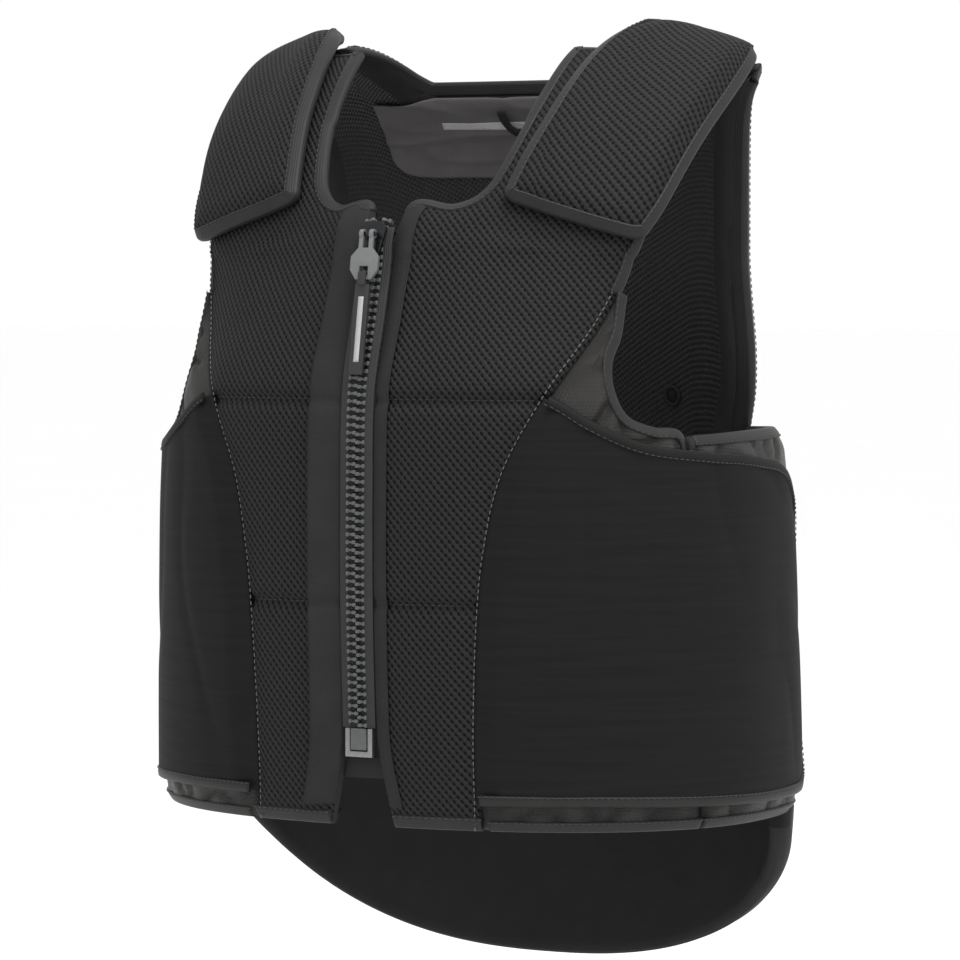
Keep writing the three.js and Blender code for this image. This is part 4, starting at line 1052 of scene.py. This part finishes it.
flap_made = pad(flap_cut, 92, 40, FLAP_THICK, cap=3.0, swell=(1.0, 0.0),
                base=-FLAP_LIFT - FLAP_THICK, rim=FLAP_RIM, crease=shoulder_belly)
flap_profile = tape_profile(FLAP_THICK, base=-FLAP_LIFT - FLAP_THICK, rim=FLAP_RIM)
for name, turn in SIDES:
    piece = sewn_pad(f"sewn_flap_{name}", flap_made, [air_mesh, lining_mesh, facing_cloth], turn)
    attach(piece, "root")
    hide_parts(f"shoulder_flap_{name}")
    t = np.linspace(0, 1, 130)[:-1]
    s = np.linspace(0, 1, 60)[:-1]
    path_u = np.concatenate([s, np.ones(len(t)), 1 - s, np.zeros(len(t))])
    path_v = np.concatenate([np.zeros(len(s)), t, np.ones(len(s)), 1 - t])
    loop_line = trace(flap_cut, path_u, path_v)
    point = loop_line["point"]
    forward = np.roll(point, -2, axis=0) - np.roll(point, 2, axis=0)
    forward /= np.linalg.norm(forward, axis=1, keepdims=True)
    away = np.cross(forward, loop_line["normal"])
    away /= np.linalg.norm(away, axis=1, keepdims=True)
    centre = point.mean(axis=0)
    away *= np.sign(((point - centre) * away).sum())
    loop_line["away"] = away
    join(f"flap_tape_{name}", [strip(loop_line, flap_profile, satin_tape, closed=True,
                                     turn=turn)], f"flap_binding_{name}")
    rise = tape_rise(STITCH_INSET, FLAP_THICK, base=-FLAP_LIFT - FLAP_THICK, rim=FLAP_RIM)
    stitched(f"flap_stitches_{name}", [beside(loop_line, STITCH_INSET, rise)], turn)


# Side wings: one sheet of stretch knit on each side, sewn in the front seam, wrapped over the
# side pads and round to the back, bound along its top, back and bottom edges.
WING_END = 118.0
WING_EDGES = np.array([
    (18, -172, -379), (32, -172, -379), (42, -185, -379), (50, -194, -379.5),
    (57, -198.5, -380), (70, -202, -381), (84, -205, -382), (96, -211, -382),
    (104, -221, -381), (112, -236, -374), (WING_END, -262, -356)])


def wing_spot(u, v):
    level = -379 + 207 * v
    seam_x = read(np.ascontiguousarray(FRONT_ROWS[:, [4, 3]]), level, 1)
    start = ring_angle(seam_x - 2.0, level)
    angle = start + (WING_END - start) * u
    top, bottom = read(WING_EDGES, angle, 1), read(WING_EDGES, angle, 2)
    return angle, bottom + (top - bottom) * v


# Stretch knit: smooth polyamide and elastane, matt, with fine ripples across the pull drawn
# about 3.7 mm apart, painted darker in their troughs and lighter on their crests: painted
# shade and painted light.
stretch_knit, tree, surface = finish("polyamide stretch knit", {"Roughness": 0.7,
                                                               "Specular IOR Level": 0.1})
cloth_uv = node(tree, "ShaderNodeUVMap", uv_map="cloth")
tilt = node(tree, "ShaderNodeMapping", {"Vector": cloth_uv.outputs["UV"],
                                        "Rotation": (0, 0, math.radians(-7)),
                                        "Scale": (14.0, 270.0, 1.0)})
ripple_and_shade = node(tree, "ShaderNodeTexNoise", {"Vector": tilt.outputs[0], "Scale": 1.0, "Detail": 2.0,
                                           "Roughness": 0.45})
stitch = node(tree, "ShaderNodeTexNoise", {"Vector": cloth_uv.outputs["UV"], "Scale": 1100.0,
                                           "Detail": 1.0})
# The tone follows the ripples: painted shade in their troughs and painted light on their crests.
tone = node(tree, "ShaderNodeMix", {"Factor": ripple_and_shade.outputs["Fac"], 6: linear("#131213"),
                                    7: linear("#1c1b1c")}, data_type="RGBA")
tree.links.new(tone.outputs[2], surface.inputs["Base Color"])
wale = node(tree, "ShaderNodeMath", {0: stitch.outputs["Fac"], 1: 0.12,
                                     2: ripple_and_shade.outputs["Fac"]}, operation="MULTIPLY_ADD")
bump = node(tree, "ShaderNodeBump", {"Height": wale.outputs[0], "Strength": 0.8,
                                     "Distance": 0.0008})
tree.links.new(bump.outputs["Normal"], surface.inputs["Normal"])

wing_cut = {"surface": ring, "cloth": ring_cloth, "spot": wing_spot}
wing_u, wing_v = np.meshgrid(np.linspace(0, 1, 130), np.linspace(0, 1, 90))
point, normal = frames(ring, *wing_spot(wing_u, wing_v))
angle = wing_spot(wing_u, wing_v)[0]
soft_folds = 0.9 * np.sin((angle - 70) / 180 * math.pi * 9) * ease(angle, 60, 100)
hollow = folds(point, 60.0, 0.8, (1, 1, 0.6), 5.1)
rise = 3.0 + np.maximum(soft_folds, 0) * np.sin(math.pi * wing_v) - hollow
rise = rise - 4.5 * (1 - ease(wing_u * 238, 0, 13))
wing_outer = point + normal * rise[..., None]
wing_inner = point + normal * (rise - 2.2)[..., None]
wing_uv = ring_cloth(*wing_spot(wing_u, wing_v))
knit_edge = woven("folded knit edge", "#141314", "#1f1e1f", 1.0, 0.05,
                  {"Roughness": 0.6, "Specular IOR Level": 0.12}, ribs=(0.2, 1.0))
wing_profile = [(-4.2, 2.5), (-3.8, 3.2), (-1.5, 3.5), (0.6, 3.2), (1.4, 2.2), (0.9, 1.1),
                (-3.8, 0.9)]
for name, turn in SIDES:
    face, back = (flip(wing_outer), flip(wing_inner)) if turn < 0 else (wing_outer, wing_inner)
    points, faces, loop = bag(face, back, 0.3)
    ringed = np.array([wing_uv[j, i] for j, i in loop])
    piece = new_piece(f"sewn_wing_{name}", points, faces,
                      np.concatenate([wing_uv.reshape(-1, 2), wing_uv.reshape(-1, 2), ringed]),
                      [stretch_knit])
    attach(piece, "root")
    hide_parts(f"side_wing_{name}")
    top = side(wing_cut, "high", 0.01, 1, 150)
    rear = side(wing_cut, "outer", 0, 1, 70)
    low = side(wing_cut, "low", 0.01, 1, 150)
    tape = join(f"wing_tape_{name}", [strip(top, wing_profile, knit_edge, turn=turn),
                                      strip(rear, wing_profile, knit_edge, turn=turn)],
                f"wing_binding_{name}")
    foot = join(f"wing_hem_tape_{name}", [strip(low, wing_profile, satin_tape, turn=turn)])
    rows = stitched(f"wing_stitches_{name}", [beside(line, 3.6, 3.6) for line in (top, rear, low)],
                    turn)


# Neck facing: a patch of plain woven cloth inside the back of the neck with rounded lower
# corners, and a hanging loop of narrow tape over it.
def inside_back(u, v, lift):
    """Points over the lining of the back, this far in towards the wearer."""
    point, normal = frames(shell, *back_spot(u, v))
    edge = np.min([distance(point, side(back_cut, which, count=120)["point"])
                   for which in ("inner", "outer", "high")], axis=0)
    thick = back_thickness(u, v) * (1 - RIM[1] * pinch(edge))
    return point - normal * (thick + lift)[..., None], normal


FACING_HALF = 91.0
FACING_CORNER = 15.0
FACING_FOOT = -48.0
FACING_RISE = 67.5


def over_facing(s, t, lift=0.0):
    """Places on the facing, from its middle out and from its foot up, in its own soft folds."""
    round_off = 1 - np.sqrt(1 - np.clip(1 - t / 0.22, 0, 1) ** 2 * 0.999)
    half = FACING_HALF - FACING_CORNER * round_off
    way = FACING_FOOT + FACING_RISE * t
    share = s * half / read(BACK_EDGE, way, 1)
    lift = lift + 1.9 + 0.9 * np.exp(-((t - 0.47 - 0.08 * np.cos(s * 2.4)) / 0.05) ** 2)
    lift = lift + folds(np.stack([s * 60, 0 * s, t * 90], -1), 45.0, 0.8, (1, 1, 1.4), 2.2)
    u, v = 0.5 + share / 2, (way - HEM) / (back_top(share) - HEM)
    return inside_back(u, v, lift) + (shell_cloth(*back_spot(u, v)),)


s, t = np.meshgrid(np.linspace(-1, 1, 90), np.linspace(0, 1, 40))
face, normal, cloth = over_facing(s, t)
back = face + normal * 0.9
points, faces, loop = bag(face, back, 0.1)
ringed = np.array([cloth[j, i] for j, i in loop])
neck_cloth = woven("plain woven polyester", "#4c4a4b", "#5c595a", 0.8, 0.05,
                   {"Roughness": 0.6, "Specular IOR Level": 0.2}, crumple=1.0)
piece = new_piece("sewn_neck_facing", points, faces,
                  np.concatenate([cloth.reshape(-1, 2), cloth.reshape(-1, 2), ringed]),
                  [neck_cloth])
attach(piece, "root")
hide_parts("neck_facing")

loop_t = np.linspace(0, math.pi, 40)
loop_u, loop_v = 0.5 - 0.052 * np.cos(loop_t), 0.965 - 0.052 * np.sin(loop_t) ** 0.8
point, normal = inside_back(loop_u, loop_v, 3.4 + 1.5 * np.sin(loop_t))
forward = np.gradient(point, axis=0)
forward /= np.linalg.norm(forward, axis=1, keepdims=True)
away = np.cross(forward, normal)
line = {"point": point, "normal": -normal, "away": away / np.linalg.norm(away, axis=1, keepdims=True)}
loop_tape = woven("narrow hanger tape", "#151415", "#201f20", 1.0, 0.12,
                  {"Roughness": 0.6, "Specular IOR Level": 0.15})
join("sewn_hang_loop", [strip(line, [(-2.2, 0), (-2.2, 0.9), (0, 1.2), (2.2, 0.9), (2.2, 0)],
                              loop_tape)], "hang_loop")

# Heat-transfer ink: a thin even film of pale grey, in one plain bar across the facing.
ink = mottled("pale transfer ink", "#8f8f8f", "#adadad", 900.0, {"Roughness": 0.5})
BAR_REACH = 0.6
BAR_LOW = 0.6
BAR_HIGH = 0.69
INK_THICK = 0.5
s, t = np.meshgrid(np.linspace(-BAR_REACH, BAR_REACH, 40), np.linspace(BAR_LOW, BAR_HIGH, 6))
face, normal, cloth = over_facing(s, t, INK_THICK / 2)
points, faces, loop = bag(face, face + normal * INK_THICK, 0.0)
join("neck_light_bar", [(points, faces, np.zeros((len(points), 2)), ink)])


# Vent eyelets: a pressed ring round a small hole in the lining of the back, one by each arm, the hole
# drawn as a dark disc that is painted shade.
EYELET_ACROSS = 83.0
EYELET_LEVEL = -174.0
EYELET_DEPTH = 17.8
EYELET_RADIUS = 4.8
HOLE_RADIUS = 4.2
HOLE_THICK = 0.4
EYELET_SIDES = 40
EYELET_PROFILE = [(-1.0, -0.3), (-0.8, 0.5), (0, 0.8), (0.8, 0.5), (1.0, -0.3)]
eyelet_rings, eyelet_shade_discs = [], []
for name, turn in SIDES:
    centre, normal = frames(shell, np.array([turn * EYELET_ACROSS]),
                            np.array([2 * CREST - EYELET_LEVEL]))
    centre, normal = centre[0] - normal[0] * EYELET_DEPTH, normal[0]
    right = np.cross([0, 0, 1.0], normal)
    right /= np.linalg.norm(right)
    angles = np.linspace(0, 2 * math.pi, EYELET_SIDES + 1)[:-1, None]
    rim = np.cos(angles) * right + np.sin(angles) * np.cross(normal, right)
    line = {"point": centre + rim * EYELET_RADIUS, "normal": np.tile(-normal, (EYELET_SIDES, 1)),
            "away": rim}
    eyelet_rings.append(strip(line, EYELET_PROFILE, facing_cloth, closed=True))
    # The hole is a dark disc of the hanger-tape cloth, sunk 0.4 mm: painted shade for the inside of the
    # hole.
    edge = centre + rim * HOLE_RADIUS
    sunk = normal * HOLE_THICK
    disc = np.concatenate([edge, edge + sunk, [centre, centre + sunk]])
    hole_faces = []
    for k in range(EYELET_SIDES):
        after = (k + 1) % EYELET_SIDES
        hole_faces += [[2 * EYELET_SIDES, after, k],
                       [2 * EYELET_SIDES + 1, EYELET_SIDES + k, EYELET_SIDES + after],
                       [k, after, EYELET_SIDES + after, EYELET_SIDES + k]]
    eyelet_shade_discs.append((disc, hole_faces, np.zeros((len(disc), 2)), loop_tape))
join("back_eyelets", eyelet_rings)
# The dark discs are the painted shade in the eyelets' holes.
join("back_eyelet_shade_discs", eyelet_shade_discs)


# Zip: a coarse moulded chain on woven tapes, open at the foot of the vest, with its two rows
# parting above the slider.
def zip_face(z):
    along = np.where(z > SHOULDER_START, SHOULDER_START + (z - SHOULDER_START) * 1.75, z)
    return shell(np.zeros(np.shape(z)), along)[..., 1]


ZIP_FOOT = -355.0
SLIDER_FOOT = -99.0
CHAIN_TOP = -80.0


def zip_spread(z):
    return 3.4 * np.clip((z - (SLIDER_FOOT + 6)) / 16, 0, 1) ** 1.2


# Injection-moulded acetal: grey-black, smooth, with a low shine on the crowns of the teeth.
acetal = mottled("moulded acetal", "#3e3f3f", "#545656", 400.0,
                 {"Roughness": 0.36, "Specular IOR Level": 0.5})


def chain_tree():
    tree = bpy.data.node_groups.new("row of moulded teeth", "GeometryNodeTree")
    tree.interface.new_socket("Row", in_out="INPUT", socket_type="NodeSocketGeometry")
    for label, start in (("Pitch", 0.004), ("Side", 1.0), ("Tooth height", 0.0017),
                         ("Tooth depth", 0.0042)):
        socket = tree.interface.new_socket(label, in_out="INPUT", socket_type="NodeSocketFloat")
        socket.default_value = start
    tree.interface.new_socket("Plastic", in_out="INPUT", socket_type="NodeSocketMaterial")
    tree.interface.new_socket("Teeth", in_out="OUTPUT", socket_type="NodeSocketGeometry")
    given = node(tree, "NodeGroupInput").outputs
    line = node(tree, "GeometryNodeMeshToCurve", {"Mesh": given["Row"]})
    even = node(tree, "GeometryNodeResampleCurve", {"Curve": line.outputs[0],
                                                    "Length": given["Pitch"]}, mode="LENGTH")

    def block(width, start, deeper, taller):
        tall = node(tree, "ShaderNodeMath", {0: given["Tooth height"], 1: taller},
                    operation="MULTIPLY")
        deep = node(tree, "ShaderNodeMath", {0: given["Tooth depth"], 1: deeper},
                    operation="MULTIPLY")
        size = node(tree, "ShaderNodeCombineXYZ", {0: width, 1: deep.outputs[0],
                                                   2: tall.outputs[0]})
        cube = node(tree, "GeometryNodeMeshCube", {"Size": size.outputs[0]})
        rounder = node(tree, "GeometryNodeSubdivisionSurface", {0: cube.outputs[0], "Level": 2,
                                                               "Edge Crease": 0.55})
        shift = node(tree, "ShaderNodeMath", {0: given["Side"], 1: start + width / 2},
                     operation="MULTIPLY")
        move = node(tree, "ShaderNodeCombineXYZ", {0: shift.outputs[0]})
        return node(tree, "GeometryNodeTransform", {"Geometry": rounder.outputs[0],
                                                    "Translation": move.outputs[0]})

    arm = block(0.0046, 0.0006, 0.8, 0.72)
    head = block(0.0024, -0.0002, 1.0, 1.15)
    root = block(0.0016, 0.0038, 1.05, 1.3)
    tooth = node(tree, "GeometryNodeJoinGeometry")
    for part in (arm, head, root):
        tree.links.new(part.outputs[0], tooth.inputs[0])
    way = node(tree, "GeometryNodeInputTangent")
    turned = node(tree, "FunctionNodeAlignRotationToVector", {"Vector": way.outputs[0]}, axis="Z")
    laid = node(tree, "GeometryNodeInstanceOnPoints", {"Points": even.outputs[0],
                                                       "Instance": tooth.outputs[0],
                                                       "Rotation": turned.outputs[0]})
    real = node(tree, "GeometryNodeRealizeInstances", {0: laid.outputs[0]})
    smooth = node(tree, "GeometryNodeSetShadeSmooth", {0: real.outputs[0]})
    done = node(tree, "GeometryNodeSetMaterial", {0: smooth.outputs[0],
                                                  "Material": given["Plastic"]})
    node(tree, "NodeGroupOutput", {0: done.outputs[0]})
    return tree


moulded_chain = chain_tree()
# Profile of the tape: the share of its width outwards from its beaded edge, and the height. The
# first two points are a thin inner lip that closes the gap behind the teeth.
TAPE_SHARES = [(-0.74, -0.5), (-0.74, 0.2), (0, 0.3), (0, 0.9), (0.22, 1.3), (0.4, 0.7),
               (0.8, 0.6), (1, 0.5), (1, -0.5)]
tape_weave = woven("ribbed zip tape", "#302f30", "#3d3b3c", 1.1, 0.15,
                   {"Roughness": 0.7, "Specular IOR Level": 0.12}, ribs=(0.3, 1.0))
for name, turn in SIDES:
    z = np.arange(ZIP_FOOT + 13.5 + (0 if turn > 0 else 2.0), CHAIN_TOP, 2.0)
    line = np.stack([turn * zip_spread(z), zip_face(z) + 1.2 + 2.2, z], 1)
    piece = from_nodes(f"moulded_teeth_{name}", [line], moulded_chain,
                       {"Side": float(turn), "Plastic": acetal})
    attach(piece, "root")
    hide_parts(f"zip_teeth_{name}")
    z = np.arange(ZIP_FOOT + 12.1, CHAIN_TOP - 3, 2.0)
    point = np.stack([np.zeros(len(z)), zip_face(z) + 3.4, z], 1)
    spread = zip_spread(z)
    line = {"point": point, "normal": np.tile([0.0, -1.0, 0.0], (len(z), 1)),
            "away": np.tile([1.0, 0.0, 0.0], (len(z), 1))}
    inner, outer = 4.6 + spread, np.minimum(9.6 + spread, 9.75)
    profile = np.stack([np.stack([inner + (outer - inner) * share, np.full(len(z), up)], 1)
                        for share, up in TAPE_SHARES], 1)
    join(f"woven_zip_tape_{name}", [strip(line, profile, tape_weave, turn=turn)],
         f"zip_tape_{name}")


# Metal and moulded fittings: die-cast slider and puller, steel clip, acetal box and soft tab,
# each a copy of its solid with the edges rounded as a mould or a tumbler leaves them.
def rounded_copy(name, node_name, material, radius, body="root"):
    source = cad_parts[node_name].data
    shape = bmesh.new()
    shape.from_mesh(source)
    bmesh.ops.remove_doubles(shape, verts=shape.verts, dist=1e-6)
    bmesh.ops.dissolve_limit(shape, angle_limit=math.radians(2), verts=shape.verts,
                             edges=shape.edges)
    data = bpy.data.meshes.new(name)
    shape.to_mesh(data)
    shape.free()
    data.materials.clear()
    data.materials.append(material)
    piece = bpy.data.objects.new(name, data)
    scene.collection.objects.link(piece)
    soften = piece.modifiers.new("rounded edges", "BEVEL")
    soften.width = radius * MM
    soften.segments = 3
    soften.limit_method = "ANGLE"
    soften.angle_limit = math.radians(35)
    result = bpy.data.meshes.new_from_object(
        piece.evaluated_get(bpy.context.evaluated_depsgraph_get()))
    piece.modifiers.remove(soften)
    piece.data = result
    result.polygons.foreach_set("use_smooth", np.ones(len(result.polygons), bool))
    result.set_sharp_from_angle(angle=math.radians(40))
    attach(piece, body)
    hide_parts(node_name)
    return piece


# Tumbled zinc in a black finish: near black, with small bright lights on its rounded knobs.
dark_zinc = mottled("tumbled black zinc", "#262728", "#343536", 500.0,
                    {"Metallic": 0.85, "Roughness": 0.24}, 3.0, 0.03 * MM)
# Painted zinc: the puller's satin grey lacquer.
lacquer = mottled("satin grey lacquer on zinc", "#5f6261", "#6d706f", 300.0,
                  {"Metallic": 0.15, "Roughness": 0.38}, 3.0, 0.03 * MM)
# Soft moulded elastomer: dark, matt and slightly grainy.
elastomer = mottled("soft moulded elastomer", "#1a191a", "#242324", 1200.0, {"Roughness": 0.6},
                    3.0, 0.08 * MM)
# Pressed steel clip: pale and satin from its rolling.
steel = mottled("pressed steel", "#737575", "#8c8e8e", 700.0,
                {"Metallic": 0.85, "Roughness": 0.35}, 3.0, 0.03 * MM)

rounded_copy("cast_slider", "zip_slider", dark_zinc, 0.5)
rounded_copy("cast_puller", "zip_pull", lacquer, 0.5, "puller")
rounded_copy("moulded_tab", "pull_tab", elastomer, 0.4, "puller")
rounded_copy("pressed_clip", "zip_end_clip", steel, 0.4)
rounded_copy("moulded_end_box", "zip_end_box", acetal, 0.5)
rounded_copy("webbing_tab", "slit_tab", facing_cloth, 0.2)

# Plain pale bar on the front of the tab: a thin film of the same ink as in the neck.
corners = np.array([corner.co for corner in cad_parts["pull_tab"].data.vertices]) / MM
TAB_SIDE = 3.9
corners = corners[np.abs(corners[:, 0]) > TAB_SIDE] * np.array([0, 1, 1])
tab_foot = corners[np.argmin(corners[:, 1])]
tab_head = corners[np.argmax(corners[:, 2])]
tab_long = (tab_foot - tab_head) / np.linalg.norm(tab_foot - tab_head)
tab_out = np.cross(tab_long, [1.0, 0, 0])
TAB_BAR_HALF = 17.0
TAB_BAR_PROFILE = [(-1.6, -0.4), (-1.5, 0.15), (1.5, 0.15), (1.6, -0.4)]
along_bar = np.linspace(-TAB_BAR_HALF, TAB_BAR_HALF, 24)[:, None]
line = {"point": (tab_foot + tab_head) / 2 + along_bar * tab_long,
        "normal": np.tile(tab_out, (len(along_bar), 1)),
        "away": np.tile([1.0, 0, 0], (len(along_bar), 1))}
join("tab_light_bar", [strip(line, TAB_BAR_PROFILE, ink)], body="puller")

bpy.context.view_layer.update()
